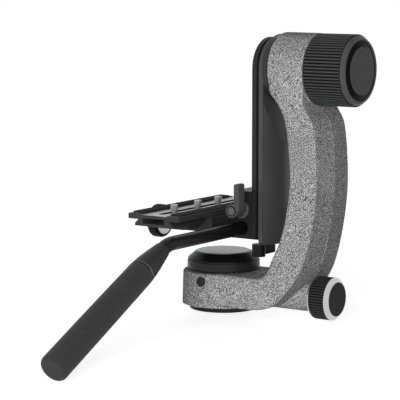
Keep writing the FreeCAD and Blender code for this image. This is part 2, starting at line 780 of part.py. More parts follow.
def end_lever_screw():
    pivot = end_lever_place()
    length = rail_bottom_z + end_screw_grip - (pivot.z - end_hub_h)
    return rod(end_screw_r, length, pivot + V(0, 0, -end_hub_h), Z_AXIS)


def make_end_lever():
    pivot = end_lever_place()
    hub = rod(end_hub_r, end_hub_h, pivot, -Z_AXIS)
    neck = rod(end_neck_r, rail_bottom_z - run_gap - pivot.z, pivot, Z_AXIS)
    tip = pivot + V(end_finger_x, -end_finger_y, 0)
    finger = rod(end_finger_r, end_finger_h, tip, -Z_AXIS)
    low = V(0, 0, pivot.z - end_hub_h)
    web = extruded([
        low + V(pivot.x + end_hub_r, 0, 0), low + V(pivot.x - end_hub_r, 0, 0),
        low + V(tip.x - end_hub_r, tip.y, 0), low + V(tip.x + end_hub_r, tip.y, 0),
    ], V(0, 0, end_hub_h))
    bore = rod(end_screw_r + shaft_gap, rail_bottom_z, V(pivot.x, 0, 0), Z_AXIS)
    save("end_lever", hub.fuse([neck, finger, web]).removeSplitter().cut(bore))
    save("end_lever_screw", end_lever_screw())


# --- Sliding block ----------------------------------------------------------
def lever_parts_room():
    """Bore for the lever's shaft and the pocket of the pad that it presses."""
    bore = rod(lever_shaft_r + shaft_gap, block_half_y + pad_half_y + 2,
               V(lever_x, -block_half_y, lever_z), Y_AXIS)
    pocket = brick((lever_x, channel_x), (-pad_half_y - slide_gap, pad_half_y + slide_gap),
                   (lever_z - pad_half_z - slide_gap, lever_z + pad_half_z + slide_gap))
    return bore.fuse(pocket)


def make_block():
    lip_x = neck_x + slide_gap
    right = lip_x + lip_thick
    neck_half = rail_half - groove_depth
    body = brick((block_x, right), (-block_half_y, block_half_y), (block_z, block_top_z))
    body = body.makeFillet(block_edge, edges_along(body, Z_AXIS))
    shoulder = brick((block_x - 1, block_x + block_shoulder), (-block_half_y - 1, block_half_y + 1),
                     (jaw_top_z, block_top_z + 1))
    channel = brick((channel_x, lip_x), (-rail_half - slide_gap, rail_half + slide_gap),
                    (block_z - 1, block_top_z + 1))
    throat = brick((channel_x, right + 1), (-neck_half - slide_gap, neck_half + slide_gap),
                   (block_z - 1, block_top_z + 1))
    socket = rod(tube_r + shaft_gap, socket_depth, V(bar_x, -block_half_y, bar_z), Y_AXIS)
    body = body.cut([shoulder, channel, throat, socket, lever_parts_room()])
    body = body.cut(Part.makeCompound(platform_screws() + [bar_set_screw()]))
    save("slider_block", body)
    pad_x = channel_x - pad_thick
    pad = brick((pad_x, channel_x), (-pad_half_y, pad_half_y),
                (lever_z - pad_half_z, lever_z + pad_half_z))
    save("lock_pad", pad.cut(rod(lever_shaft_r + run_gap, 2 * block_half_y,
                                 V(lever_x, -block_half_y, lever_z), Y_AXIS)))
    save("bar_set_screw", bar_set_screw())


def bar_set_screw():
    """Grub screw up through the block, which holds the pan bar."""
    tip = bar_z - tube_r - run_gap
    return rod(2.5, tip - block_z, V(bar_x, -block_half_y / 2, block_z), Z_AXIS)


def make_lever():
    start = -block_half_y - run_gap
    disc = turned([
        (lever_shaft_r, 0), (lever_disc_r, 0), (lever_disc_r, lever_disc_h - 0.6),
        (lever_disc_r - 0.6, lever_disc_h), (lever_shaft_r, lever_disc_h),
    ], V(lever_x, start, lever_z), -Y_AXIS)
    boss = ring(lever_shaft_r, lever_boss_r, lever_reach - run_gap, V(lever_x, start, lever_z),
                -Y_AXIS)
    low_x = lever_x + finger_offset - finger_wide / 2
    finger = brick((low_x, low_x + finger_wide), (lever_front_y, lever_front_y + finger_deep),
                   (lever_z, finger_top_z))
    crown = [e for e in edges_along(finger, Y_AXIS) if e.BoundBox.ZMin > finger_top_z - 1]
    finger = finger.makeFillet(finger_wide * 0.3, crown)
    shaft_room = rod(lever_shaft_r, lever_reach, V(lever_x, start, lever_z), -Y_AXIS)
    seat = rod(lever_cap_r, lever_cap_h, V(lever_x, lever_front_y, lever_z), Y_AXIS)
    arm = disc.fuse([boss, finger]).cut([shaft_room, seat]).removeSplitter()
    save("lock_lever", arm)
    save("lever_shaft", rod(lever_shaft_r, pad_half_y - lever_front_y - lever_cap_h,
                            V(lever_x, lever_front_y + lever_cap_h, lever_z), Y_AXIS))
    cap = turned([
        (0, 0), (lever_cap_r, 0), (lever_cap_r, lever_cap_h + 0.1),
        (lever_cap_r - 0.3, lever_cap_h + 0.4), (0, lever_cap_h + 0.4),
    ], V(lever_x, lever_front_y + lever_cap_h, lever_z), -Y_AXIS)
    save("lever_cap", cap)


# --- Platform and clamp -----------------------------------------------------
def platform_screws():
    """Screws that hold the platform to the block's left face."""
    start_x = block_x - platform_screw_length / 2
    return [
        rod(platform_screw_r, platform_screw_length, V(start_x, y, jaw_screw_z), X_AXIS)
        for y in (-platform_half_y[1] + 4, platform_half_y[1] - 4)
    ]


def jaw_profile(outer_x, slide):
    """Clamp jaw on the +X side, as (x, z) points; slide is the gap to the dovetail."""
    top_x = dovetail_neck + flange_z - jaw_top_z + slide
    return [
        (top_x, jaw_top_z), (outer_x - jaw_edge, jaw_top_z), (outer_x, jaw_top_z - jaw_edge),
        (outer_x, platform_z), (dovetail_half + slide, platform_z),
        (dovetail_half + slide, flange_z - dovetail_slope),
    ]


def make_platform():
    low_y, high_y = -platform_half_y[0], platform_half_y[1]
    step = V(0, high_y - low_y, 0)
    left = -dovetail_half - slide_gap
    floor = brick((left + run_gap, block_x), (low_y, high_y), (platform_z, floor_z))
    jaw = extruded([V(x, low_y, z) for x, z in jaw_profile(block_x, slide_gap)], step)
    tongue = extruded([
        V(-tongue_half, -tongue_y, floor_z), V(tongue_half, -tongue_y, floor_z),
        V(tongue_half - tongue_slant, -tongue_y, floor_z - tongue_h),
        V(-tongue_half + tongue_slant, -tongue_y, floor_z - tongue_h),
    ], V(0, tongue_y + low_y + 1, 0))
    body = floor.fuse([jaw, tongue]).removeSplitter()
    screw_bore = rod(screw_r + shaft_gap, jaw_screw_reach() + jaw_travel + 1,
                     V(left, jaw_screw_y, jaw_screw_z), X_AXIS)
    body = body.cut([screw_bore] + guide_pins() + platform_screws())
    save("platform_base", body)
    save("platform_screws", *platform_screws())
    save("jaw_guide_pins", *guide_pins())


def jaw_screw_reach():
    """How far the clamp screw goes into the platform when the jaw is closed."""
    return dovetail_half * 1.1


def guide_pins():
    start = -jaw_outer_x + 0.4
    return [
        rod(guide_pin_r, jaw_outer_x - dovetail_half * 0.4, V(start, y, jaw_screw_z), X_AXIS)
        for y in guide_pin_y
    ]


def make_moving_jaw():
    low_y, high_y = -platform_half_y[0], platform_half_y[1]
    points = [V(-x, low_y, z) for x, z in jaw_profile(jaw_outer_x, slide_gap)]
    jaw = extruded(points, V(0, high_y - low_y, 0))
    bores = [
        rod(guide_pin_r + shaft_gap, 2 * jaw_wall, V(-jaw_outer_x - 1, y, jaw_screw_z), X_AXIS)
        for y in guide_pin_y
    ]
    screw_bore = rod(screw_r + shaft_gap, 2 * jaw_wall,
                     V(-jaw_outer_x - 1, jaw_screw_y, jaw_screw_z), X_AXIS)
    save("moving_jaw", jaw.cut(bores + [screw_bore]))


def make_jaw_knob():
    start = V(-jaw_outer_x - run_gap, jaw_screw_y, jaw_screw_z)
    collar = turned([
        (screw_r, 0), (jaw_neck_r, 0), (jaw_neck_r, jaw_neck_h), (jaw_knob_r - 1.4, jaw_neck_h),
        (jaw_knob_r - 0.4, jaw_neck_h + 1.0), (jaw_knob_r - 0.4, jaw_neck_h + jaw_collar_h),
        (screw_r, jaw_neck_h + jaw_collar_h),
    ], start, -X_AXIS)
    save("jaw_knob_collar", collar)
    grip_at = start + V(-jaw_neck_h - jaw_collar_h, 0, 0)
    core_r = jaw_knob_r - 2.2
    save("jaw_knob_grip", ribbed_sleeve(jaw_knob_r, core_r, jaw_knob_h, jaw_knob_ribs,
                                        jaw_rib_depth, grip_at, -X_AXIS))
    core = turned([
        (screw_r, 0), (core_r, 0), (core_r, jaw_knob_h), (core_r - 1.0, jaw_knob_h + 1.0),
        (0, jaw_knob_h + 1.0), (0, jaw_knob_h - 1.0), (screw_r, jaw_knob_h - 1.0),
    ], grip_at, -X_AXIS)
    save("jaw_knob_core", core)
    outer = grip_at.x - jaw_knob_h + 1.0
    inner = -dovetail_half + jaw_screw_reach()
    save("jaw_screw", rod(screw_r, inner - outer, V(outer, jaw_screw_y, jaw_screw_z), X_AXIS))


# --- Quick-release plate ----------------------------------------------------
def plate_slot(half, low_z, high_z):
    """Round-ended slot along the plate's middle."""
    start = plate_front_y + slot_inset
    end = plate_front_y + plate_length - slot_inset
    bar = brick((-half, half), (start, end), (low_z, high_z))
    ends = [rod(half, high_z - low_z, V(0, y, low_z), Z_AXIS) for y in (start, end)]
    return bar.fuse(ends)


def make_plate():
    half = plate_width / 2
    outline = mirrored_outline([
        (channel_half, channel_z), (channel_half, plate_top_z), (half - 0.4, plate_top_z),
        (half, plate_top_z - 0.4), (half, flange_z), (dovetail_neck, flange_z),
        (dovetail_half, flange_z - dovetail_slope), (dovetail_half, dovetail_z),
    ])
    body = extruded([V(x, plate_front_y, z) for x, z in outline], V(0, plate_length, 0))
    far = plate_front_y + plate_length
    corners = [e for e in edges_along(body, Z_AXIS)
               if e.BoundBox.YMin > far - 1 and abs(e.BoundBox.XMin) > half - 0.1]
    body = body.makeFillet(plate_corner_r, corners)
    hollow = brick((-hollow_half, hollow_half), (plate_front_y - 1, far + 1), (hollow_z, roof_z))
    body = body.cut([hollow, plate_slot(slot_half, roof_z - 1, plate_top_z + 1),
                     plate_slot(under_slot_half, dovetail_z - 1, hollow_z + 1)])
    save("quick_plate", body)
    save("plate_strips", *[grip_strip(side) for side in (-1, 1)])


def grip_strip(side):
    """Rubber strip with lengthwise ribs, beside the channel."""
    start = channel_half + 0.4
    pitch = strip_width / strip_ribs
    top = plate_top_z + strip_h
    points = [(start, plate_top_z)]
    for i in range(strip_ribs):
        x = start + i * pitch
        points += [(x, top - 0.4), (x + 0.3, top), (x + pitch - 0.9, top),
                   (x + pitch - 0.5, top - 0.4)]
    points.append((start + strip_width - 0.5, plate_top_z))
    low = plate_front_y + strip_inset
    strip = extruded([V(side * x, low, z) for x, z in points],
                     V(0, plate_length - 2 * strip_inset, 0))
    return strip


def make_camera_screws():
    """Necked screws held in the slot by a washer under its roof and the thread above it."""
    shank_z = screw_head_z + screw_head_h
    top = channel_z + camera_screw_proud
    for number, y in enumerate(camera_screw_y, 1):
        washer = ring(camera_neck_r + shaft_gap, washer_r, washer_h, V(0, y, washer_z), Z_AXIS)
        save("carrier_washer_%d" % number, washer)
        screw = turned([
            (0, screw_head_z), (screw_head_r, screw_head_z), (screw_head_r, shank_z),
            (camera_neck_r, shank_z), (camera_neck_r, camera_thread_z),
            (camera_screw_r, camera_thread_z), (camera_screw_r, top - 0.5),
            (camera_screw_r - 0.5, top), (0, top),
        ], V(0, y, 0), Z_AXIS)
        coin_slot = brick((-0.8, 0.8), (y - screw_head_r, y + screw_head_r),
                          (screw_head_z, screw_head_z + 1.2))
        save("camera_screw_%d" % number, screw.cut(coin_slot))


# --- Pan bar ----------------------------------------------------------------
def bar_place(distance):
    """Point on the grip's axis, counted from the bend point."""
    return bend_point + bar_dir * distance


def make_bar_tube():
    """Straight run out of the block, one bend, then down the grip's axis."""
    reach = bend_r * math.tan(math.radians(bar_angle / 2))
    start = V(bar_x, -block_half_y + socket_depth, bar_z)
    bend_in = bend_point + V(0, reach, 0)
    bend_out = bar_place(reach)
    centre = bend_in + V(0, 0, -bend_r)
    middle = centre + (bend_point - centre).normalize() * bend_r
    path = Part.Wire([
        Part.makeLine(start, bend_in), Part.Arc(bend_in, middle, bend_out).toShape(),
        Part.makeLine(bend_out, bar_place(adapter_end)),
    ])
    tube = []
    for radius in (tube_r, tube_r - tube_wall):
        section = Part.Wire([Part.makeCircle(radius, start, -Y_AXIS)])
        tube.append(path.makePipeShell([section], True, True))
    save("bar_tube", tube[0].cut(tube[1]))


def make_bar_adapter():
    """Moulded cone between the tube and the grip, flattened on both sides."""
    steps = ((0.0, 0.0), (0.1, 0.12), (0.8, 0.92), (1.0, 1.0))
    root_r = tube_r + adapter_wall
    wires = []
    for along, swell in steps:
        radius = root_r + (adapter_r - root_r) * swell
        place = bar_place(adapter_start + adapter_length * along)
        wires.append(Part.Wire([Part.makeCircle(radius, place, bar_dir)]))
    cone = Part.makeLoft(wires, True, False)
    width = 2 * (adapter_r - adapter_flat)
    slab = Part.makeBox(width, 8 * adapter_r, 8 * adapter_length,
                        V(bar_x - width / 2, bend_y - 7 * adapter_r, -adapter_length))
    tube_room = rod(tube_r, 2 * adapter_length, bar_place(adapter_start - 1), bar_dir)
    save("bar_adapter", cone.common(slab).cut(tube_room))


def make_bar_grip():
    start = bar_place(adapter_end)
    cap_at = grip_length - grip_round - end_cap_h
    sleeve = turned([
        (0, 0), (grip_r_start - 0.6, 0), (grip_r_start, 0.6), (grip_r_end, cap_at), (0, cap_at),
    ], start, bar_dir)
    save("bar_grip", sleeve)
    cap_r = grip_r_end - 0.1
    points = [(0, 0), (cap_r, 0), (cap_r, end_cap_h)]
    for i in range(1, 7):
        turn = math.radians(15 * i)
        points.append((cap_r - grip_round * (1 - math.cos(turn)),
                       end_cap_h + grip_round * math.sin(turn)))
    points.append((0, end_cap_h + grip_round))
    save("bar_end_cap", turned(points, start + bar_dir * cap_at, bar_dir))


def main():
    os.makedirs("parts", exist_ok=True)
    make_base()
    make_arm_casting()
    make_housing_fittings()
    make_caps()
    make_tilt_fixed()
    make_tilt_turning()
    make_tilt_knob()
    make_pan_knob()
    make_rail()
    make_end_lever()
    make_block()
    make_lever()
    make_platform()
    make_moving_jaw()
    make_jaw_knob()
    make_plate()
    make_camera_screws()
    make_bar_tube()
    make_bar_adapter()
    make_bar_grip()


main()
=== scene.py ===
"""Finishes, fine detail and studio for a gimbal tripod head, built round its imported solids.

Lengths are in millimetres and are turned into metres only where a mesh or a node tree is made.
FLOOR_GAP and the lengths of Studio and its lamps are in metres. +Z is up, +X runs along the tilt
axis towards the big knob, and +Y is the way the lens points.
"""

import json
import logging
import math
from collections.abc import Iterable, Sequence
from dataclasses import dataclass, field
from enum import Enum
from typing import Any, Protocol

import bmesh
import bpy
from mathutils import Matrix, Quaternion, Vector

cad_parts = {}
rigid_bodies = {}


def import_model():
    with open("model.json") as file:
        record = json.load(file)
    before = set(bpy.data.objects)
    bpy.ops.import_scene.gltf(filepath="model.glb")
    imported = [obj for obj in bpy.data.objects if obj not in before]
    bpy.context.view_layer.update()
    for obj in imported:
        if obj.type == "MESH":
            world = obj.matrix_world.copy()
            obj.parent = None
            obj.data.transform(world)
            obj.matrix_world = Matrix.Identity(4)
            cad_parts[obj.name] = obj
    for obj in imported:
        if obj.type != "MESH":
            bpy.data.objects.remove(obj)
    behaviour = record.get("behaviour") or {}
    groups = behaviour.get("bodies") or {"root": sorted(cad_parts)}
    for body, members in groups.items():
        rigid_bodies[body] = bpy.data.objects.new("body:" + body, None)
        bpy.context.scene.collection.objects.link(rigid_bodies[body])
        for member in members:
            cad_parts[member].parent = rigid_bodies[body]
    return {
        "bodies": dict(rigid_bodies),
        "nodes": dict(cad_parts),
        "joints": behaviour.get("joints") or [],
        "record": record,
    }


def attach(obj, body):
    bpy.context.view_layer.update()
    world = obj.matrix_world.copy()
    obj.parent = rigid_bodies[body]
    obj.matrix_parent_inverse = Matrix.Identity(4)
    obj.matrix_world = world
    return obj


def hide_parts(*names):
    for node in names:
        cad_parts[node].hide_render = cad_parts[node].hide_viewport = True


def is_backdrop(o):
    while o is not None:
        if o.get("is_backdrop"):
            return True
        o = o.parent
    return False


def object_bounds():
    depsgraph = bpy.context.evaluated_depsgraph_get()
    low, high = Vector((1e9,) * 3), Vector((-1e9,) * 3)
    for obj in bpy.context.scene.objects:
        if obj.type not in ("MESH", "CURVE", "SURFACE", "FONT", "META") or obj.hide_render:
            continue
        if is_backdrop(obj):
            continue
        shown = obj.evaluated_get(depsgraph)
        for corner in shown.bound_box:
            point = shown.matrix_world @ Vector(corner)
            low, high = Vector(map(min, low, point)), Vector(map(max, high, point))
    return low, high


LOG = logging.getLogger("gimbal_head")
MM = 0.001
SMOOTH_ANGLE = math.radians(32)
HANDLE_FALL = math.radians(27)
FLOOR_GAP = 0.0005
WHITE = (1.0, 1.0, 1.0, 1.0)

# Colours that more than one finish has.
STEEL = (0.5, 0.5, 0.49)
RACE_STEEL = (0.62, 0.61, 0.6)
SCREW_BLACK = (0.16, 0.16, 0.165)
HUB_BLACK = (0.05, 0.05, 0.051)
NYLON = (0.62, 0.6, 0.52)

# How much of a noise's 0 to 1 a finish uses, from most of it to its middle only.
BROAD = (0.2, 0.8)
USUAL = (0.25, 0.75)
TIGHT = (0.3, 0.7)

Colour = tuple[float, float, float]
Point = tuple[float, float, float]
Range = tuple[float, float]
Profile = Sequence[tuple[float, float]]
Socket = bpy.types.NodeSocket
Material = bpy.types.Material
Piece = bpy.types.Object


class Axis(Enum):
    """Direction of a turned piece's axis, or of a new piece's own Z."""

    X = (1.0, 0.0, 0.0)
    X_BACK = (-1.0, 0.0, 0.0)
    Y = (0.0, 1.0, 0.0)
    Z = (0.0, 0.0, 1.0)
    Z_DOWN = (0.0, 0.0, -1.0)
    HANDLE = (0.0, -math.cos(HANDLE_FALL), -math.sin(HANDLE_FALL))

    def placed(self, at: Point) -> Matrix:
        """Place of a piece made upright at the world's origin.

        Args:
            at: where the piece's foot goes, in millimetres.

        Returns:
            The matrix that stands the piece on `at` and turns its Z along this axis.
        """
        turn = Vector((0, 0, 1)).rotation_difference(Vector(self.value))
        if self is Axis.Z_DOWN:  # a half turn has no shortest way, so it goes about X
            turn = Quaternion((1, 0, 0), math.pi)
        return Matrix.Translation(Vector(at) * MM) @ turn.to_matrix().to_4x4()


# ---- node trees


class NodeTree:
    """A node tree, put together one step at a time."""

    def __init__(self, tree: bpy.types.NodeTree) -> None:
        """Takes up a tree that Blender has made."""
        self.tree = tree

    def step(self, kind: str, feeds: dict[Any, Any] | None = None,
             **settings: Any) -> bpy.types.Node:
        """Adds one node.

        Args:
            kind: Blender's name for the node's type.
            feeds: value or source socket for each of the node's inputs.
            settings: the node's own properties.

        Returns:
            The new node.
        """
        node = self.tree.nodes.new(kind)
        for key, value in settings.items():
            setattr(node, key, value)
        for key, value in (feeds or {}).items():
            self.feed(node.inputs[key], value)
        return node

    def feed(self, socket: Socket, value: Any) -> None:
        """Links a source socket into an input, or sets a plain value on it.

        Args:
            socket: the input.
            value: the source socket or the value.
        """
        if isinstance(value, Socket):
            self.tree.links.new(value, socket)
        else:
            socket.default_value = value

    def maths(self, operation: str, *values: Any) -> Socket:
        """Works out one number from others.

        Args:
            operation: Blender's name for the sum.
            values: numbers or source sockets.

        Returns:
            The socket that holds the result.
        """
        node = self.step("ShaderNodeMath", dict(enumerate(values)), operation=operation)
        return node.outputs[0]

    def seen(self) -> Socket:
        """Tells rays that end in the picture from those that only light something.

        Returns:
            A socket that is 1 for camera rays, reflections and glass, and 0 for other rays.
        """
        rays = self.step("ShaderNodeLightPath").outputs
        plain = self.maths("MAXIMUM", rays["Is Camera Ray"], rays["Is Glossy Ray"])
        return self.maths("MAXIMUM", plain, rays["Is Transmission Ray"])


class Bench(NodeTree):
    """A material's node tree, with its Principled shader and Object coordinates."""

    def __init__(self, name: str) -> None:
        """Starts a material.

        Args:
            name: the material's name.
        """
        self.material = bpy.data.materials.new(name)
        self.material.use_nodes = True
        super().__init__(self.material.node_tree)
        self.shader = self.tree.nodes["Principled BSDF"]
        self.place = self.step("ShaderNodeTexCoord").outputs["Object"]

    def drawn(self, scale: Point) -> Socket:
        """Object coordinates, drawn out along the axes whose scale is under 1."""
        return self.step("ShaderNodeMapping", {"Vector": self.place, "Scale": scale},
                         vector_type="POINT").outputs[0]

    def split(self, vector: Any) -> Any:
        """The X, Y and Z sockets of a vector."""
        return self.step("ShaderNodeSeparateXYZ", {0: vector}).outputs

    def noise(self, per_m: float, detail: float = 2.0, roughness: float = 0.5,
              at: Any = None) -> Socket:
        """Adds a grey noise.

        Args:
            per_m: cells in a metre.
            detail: how many finer noises lie on the first.
            roughness: how strong each finer noise is.
            at: coordinates to read, where they aren't the plain Object coordinates.

        Returns:
            The noise's socket, 0 to 1.
        """
        feeds = {"Vector": at or self.place, "Scale": per_m, "Detail": detail,
                 "Roughness": roughness}
        return self.step("ShaderNodeTexNoise", feeds).outputs["Fac"]

    def ramp(self, value: Any, stops: Iterable[tuple[float, Colour]]) -> Socket:
        """Colours a number.

        Args:
            value: source socket.
            stops: position and colour of each stop.

        Returns:
            The colour socket.
        """
        stops = tuple(stops)
        node = self.step("ShaderNodeValToRGB", {"Fac": value})
        band = node.color_ramp
        while len(band.elements) < len(stops):
            band.elements.new(1.0)
        for element, (position, colour) in zip(band.elements, stops):
            element.position = position
            element.color = (*colour, 1.0)
        return node.outputs["Color"]

    def span(self, value: Any, low: float, high: float, out_low: float = 0.0,
             out_high: float = 1.0) -> Socket:
        """Maps low..high of a number onto out_low..out_high, clamped."""
        feeds = {"Value": value, "From Min": low, "From Max": high, "To Min": out_low,
                 "To Max": out_high}
        return self.step("ShaderNodeMapRange", feeds).outputs["Result"]

    def varied(self, noise: Any, part: Range, middle: float, swing: float) -> Socket:
        """Maps a part of a noise onto `middle` less `swing` to `middle` plus `swing`."""
        return self.span(noise, *part, middle - swing, middle + swing)

    def blended(self, first: Any, second: Any, share: float) -> Socket:
        """Adds `share` of one number to the rest of another."""
        rest = self.maths("MULTIPLY", second, 1.0 - share)
        return self.maths("MULTIPLY_ADD", first, share, rest)

    def mixed(self, share: Any, first: Any, second: Any) -> Socket:
        """Mixes two colours.

        Args:
            share: how much of the second colour there is.
            first: colour or source socket.
            second: colour or source socket.

        Returns:
            The colour socket.
        """
        node = self.step("ShaderNodeMix", {"Factor": share}, data_type="RGBA")
        for socket, colour in zip((node.inputs[6], node.inputs[7]), (first, second)):
            self.feed(socket, (*colour, 1.0) if isinstance(colour, tuple) else colour)
        return node.outputs[2]

    def dyed(self, share: Any, colour: Colour, dye: Range) -> Socket:
        """Runs a colour from the first to the second of `dye` times itself, 1.0 at most."""
        return self.mixed(share, *(tuple(min(1.0, k * c) for c in colour) for k in dye))

    def dulled(self, grain: Any, roughness: float, more: float = 0.08,
               less: float = 0.05) -> Socket:
        """Roughness of a moulded skin: more in the hollows of its grain, less on the tops."""
        return self.span(grain, *USUAL, roughness + more, roughness - less)

    def relief(self, height: Any, depth_mm: float, strength: float, below: Any = None) -> Socket:
        """Turns a height into a bumped normal.

        Args:
            height: source socket, 0 to 1.
            depth_mm: how deep the relief is.
            strength: share of the bump that shows.
            below: normal of a coarser relief that this one lies on.

        Returns:
            The normal socket.
        """
        feeds = {"Height": height, "Distance": depth_mm * MM, "Strength": strength}
        if below is not None:
            feeds["Normal"] = below
        return self.step("ShaderNodeBump", feeds).outputs["Normal"]

    def radius(self, axis: Axis, at: Point) -> Socket:
        """Distance from a straight line.

        Args:
            axis: direction of the line.
            at: point on the line, in millimetres.

        Returns:
            The socket that holds the distance, in metres.
        """
        def vector(operation: str, *values: Any) -> Any:
            """Outputs of one step of vector maths."""
            return self.step("ShaderNodeVectorMath", dict(enumerate(values)),
                             operation=operation).outputs

        shifted = vector("SUBTRACT", self.place, Vector(at) * MM)[0]
        crossed = vector("CROSS_PRODUCT", shifted, Vector(axis.value))[0]
        return vector("LENGTH", crossed)["Value"]

    def finish(self, colour: Any, roughness: Any, gloss: float, **others: Any) -> Material:
        """Feeds the shader and returns the material.

        Args:
            colour: colour or source socket.
            roughness: number or source socket.
            gloss: how strongly the skin mirrors over its colour.
            others: more Principled inputs, with underscores for spaces.

        Returns:
            The finished material.
        """
        inputs = {"Base_Color": colour, "Roughness": roughness, "Specular_IOR_Level": gloss}
        for key, value in {**inputs, **others}.items():
            self.feed(self.shader.inputs[key.replace("_", " ")], value)
        return self.material


# ---- finishes


class Finish(Protocol):
    """What every finish can do."""

    def material(self) -> Material:
        """Builds the material in a node tree of its own."""


@dataclass(frozen=True)
class Hammertone:
    """Hammered grey enamel: a tight net of raised flecks with dark valleys."""

    name: str = "hammertone"
    dark: Colour = (0.03, 0.03, 0.031)
    middle: Colour = (0.235, 0.235, 0.237)
    light: Colour = (0.74, 0.74, 0.745)
    stops: tuple[float, float, float] = (0.40, 0.50, 0.61)
    cell_mm: float = 0.86
    cell_share: float = 0.72
    flecks_per_cell: float = 2.4
    drift_per_m: float = 22.0
    drift: float = 0.012
    relief_mm: float = 0.1
    gloss: float = 0.0
    seam_half_mm: float = 0.3
    # Parting line along Y = 0: raised in the bump, and lighter as a painted highlight broken up
    # by noise.
    seam_lift_and_highlight: float = 0.17
    seam_highlight_break_per_m: float = 140.0
    seam_highlight_break: Range = (0.42, 0.6)
    height_span: Range = (0.38, 0.62)
    rough_span: Range = (0.4, 0.6)
    rough: Range = (0.52, 0.34)

    def material(self) -> Material:
        """Builds the enamel from two sizes of fleck, with the casting's faint parting line: a
        raised bump line whose lighter colour, broken up by noise, is a painted highlight.

        Returns:
            The enamel.
        """
        bench = Bench(self.name)
        cell = self.cell_mm * MM
        coarse = bench.noise(1.0 / cell, detail=3.0, roughness=0.62)
        fine = bench.noise(self.flecks_per_cell / cell)
        drift = bench.varied(bench.noise(self.drift_per_m), TIGHT, middle=0.0, swing=self.drift)
        net = bench.maths("ADD", bench.blended(coarse, fine, self.cell_share), drift)
        # Along Y = 0 the net rises: a raised line in the bump and a painted highlight in the
        # colour, broken up by noise.
        aside = bench.maths("ABSOLUTE", bench.split(bench.place)["Y"])
        half = self.seam_half_mm * MM
        seam_relief_and_highlight = bench.span(aside, half, 2 * half, self.seam_lift_and_highlight, 0.0)
        painted_light_share = bench.span(bench.noise(self.seam_highlight_break_per_m), *self.seam_highlight_break)
        net = bench.maths("MULTIPLY_ADD", seam_relief_and_highlight, painted_light_share, net)
        colour = bench.ramp(net, zip(self.stops, (self.dark, self.middle, self.light)))
        height = bench.span(net, *self.height_span)
        return bench.finish(colour, bench.span(net, *self.rough_span, *self.rough), self.gloss,
                            Normal=bench.relief(height, self.relief_mm, strength=0.8))


@dataclass(frozen=True)
class Anodised:
    """Matt anodised aluminium: faint machining lines and a cloudy dye."""

    name: str
    colour: Colour
    roughness: float
    metallic: float
    grain: Point = (1.0, 1.0, 1.0)
    grain_per_m: float = 3000.0
    cloud_per_m: float = 38.0
    dye: Range = (0.8, 1.2)
    relief_mm: float = 0.012
    gloss: float = 0.06

    def material(self) -> Material:
        """Builds the dye's tone and the fine grain, drawn out along the cutter's way.

        Returns:
            The anodised metal.
        """
        bench = Bench(self.name)
        at = bench.drawn(self.grain)
        grain = bench.noise(self.grain_per_m, detail=3.0, roughness=0.6, at=at)
        cloud = bench.noise(self.cloud_per_m, detail=3.0)
        tone = bench.maths("MULTIPLY", bench.varied(cloud, USUAL, middle=1.0, swing=0.14),
                           bench.varied(grain, BROAD, middle=1.0, swing=0.1))
        return bench.finish(bench.dyed(bench.span(tone, *self.dye), self.colour, self.dye),
                            bench.varied(grain, BROAD, self.roughness, swing=0.06),
                            self.gloss, Metallic=self.metallic,
                            Normal=bench.relief(grain, self.relief_mm, strength=0.6))


@dataclass(frozen=True)
class Turned:
    """Lathe-turned metal: fine rings round its axis, over a cloudy tone."""

    name: str
    colour: Colour
    axis: Axis
    at: Point = (0.0, 0.0, 0.0)
    roughness: float = 0.28
    metallic: float = 1.0
    rings_per_mm: float = 5.0
    cloud_per_m: float = 45.0
    dye: Range = (0.86, 1.1)
    polish: Range = (-0.05, 0.07)
    relief_mm: float = 0.006
    gloss: float = 0.06
    border_r: float = 0.0
    border: Colour = (0.004, 0.004, 0.0042)
    border_fade_mm: float = 0.06

    def material(self) -> Material:
        """Builds rings of uneven depth, and a near-black border outside `border_r`.

        Returns:
            The turned metal.
        """
        bench = Bench(self.name)
        out = bench.radius(self.axis, self.at)
        rings = bench.step("ShaderNodeTexNoise", {
            "W": out, "Scale": self.rings_per_mm / MM, "Detail": 2.0, "Roughness": 0.6,
        }, noise_dimensions="1D").outputs["Fac"]
        tone = bench.blended(rings, bench.noise(self.cloud_per_m), share=0.5)
        colour = bench.dyed(bench.span(tone, *TIGHT), self.colour, self.dye)
        if self.border_r > 0:
            fade = bench.span(out, (self.border_r - self.border_fade_mm) * MM,
                              (self.border_r + self.border_fade_mm) * MM)
            colour = bench.mixed(fade, colour, self.border)
        rough = bench.span(rings, *BROAD, *(self.roughness + change for change in self.polish))
        return bench.finish(colour, rough, self.gloss, Metallic=self.metallic,
                            Normal=bench.relief(rings, self.relief_mm, strength=0.7))


@dataclass(frozen=True)
class Moulded:
    """Moulded plastic or rubber with a fine spark-eroded grain."""

    name: str
    colour: Colour
    roughness: float
    grain_mm: float = 0.45
    relief_mm: float = 0.03
    bloom_per_m: float = 30.0
    dye: Range = (0.78, 1.22)
    gloss: float = 0.06

    def material(self) -> Material:
        """Builds the grain, its dulled hollows and a slight bloom in the colour.

        Returns:
            The moulded skin.
        """
        bench = Bench(self.name)
        grain = bench.noise(1.0 / (self.grain_mm * MM), roughness=0.55)
        tone = bench.blended(grain, bench.noise(self.bloom_per_m, detail=3.0), share=0.35)
        return bench.finish(bench.dyed(bench.span(tone, *TIGHT), self.colour, self.dye),
                            bench.dulled(grain, self.roughness), self.gloss,
                            Normal=bench.relief(grain, self.relief_mm, strength=0.7))


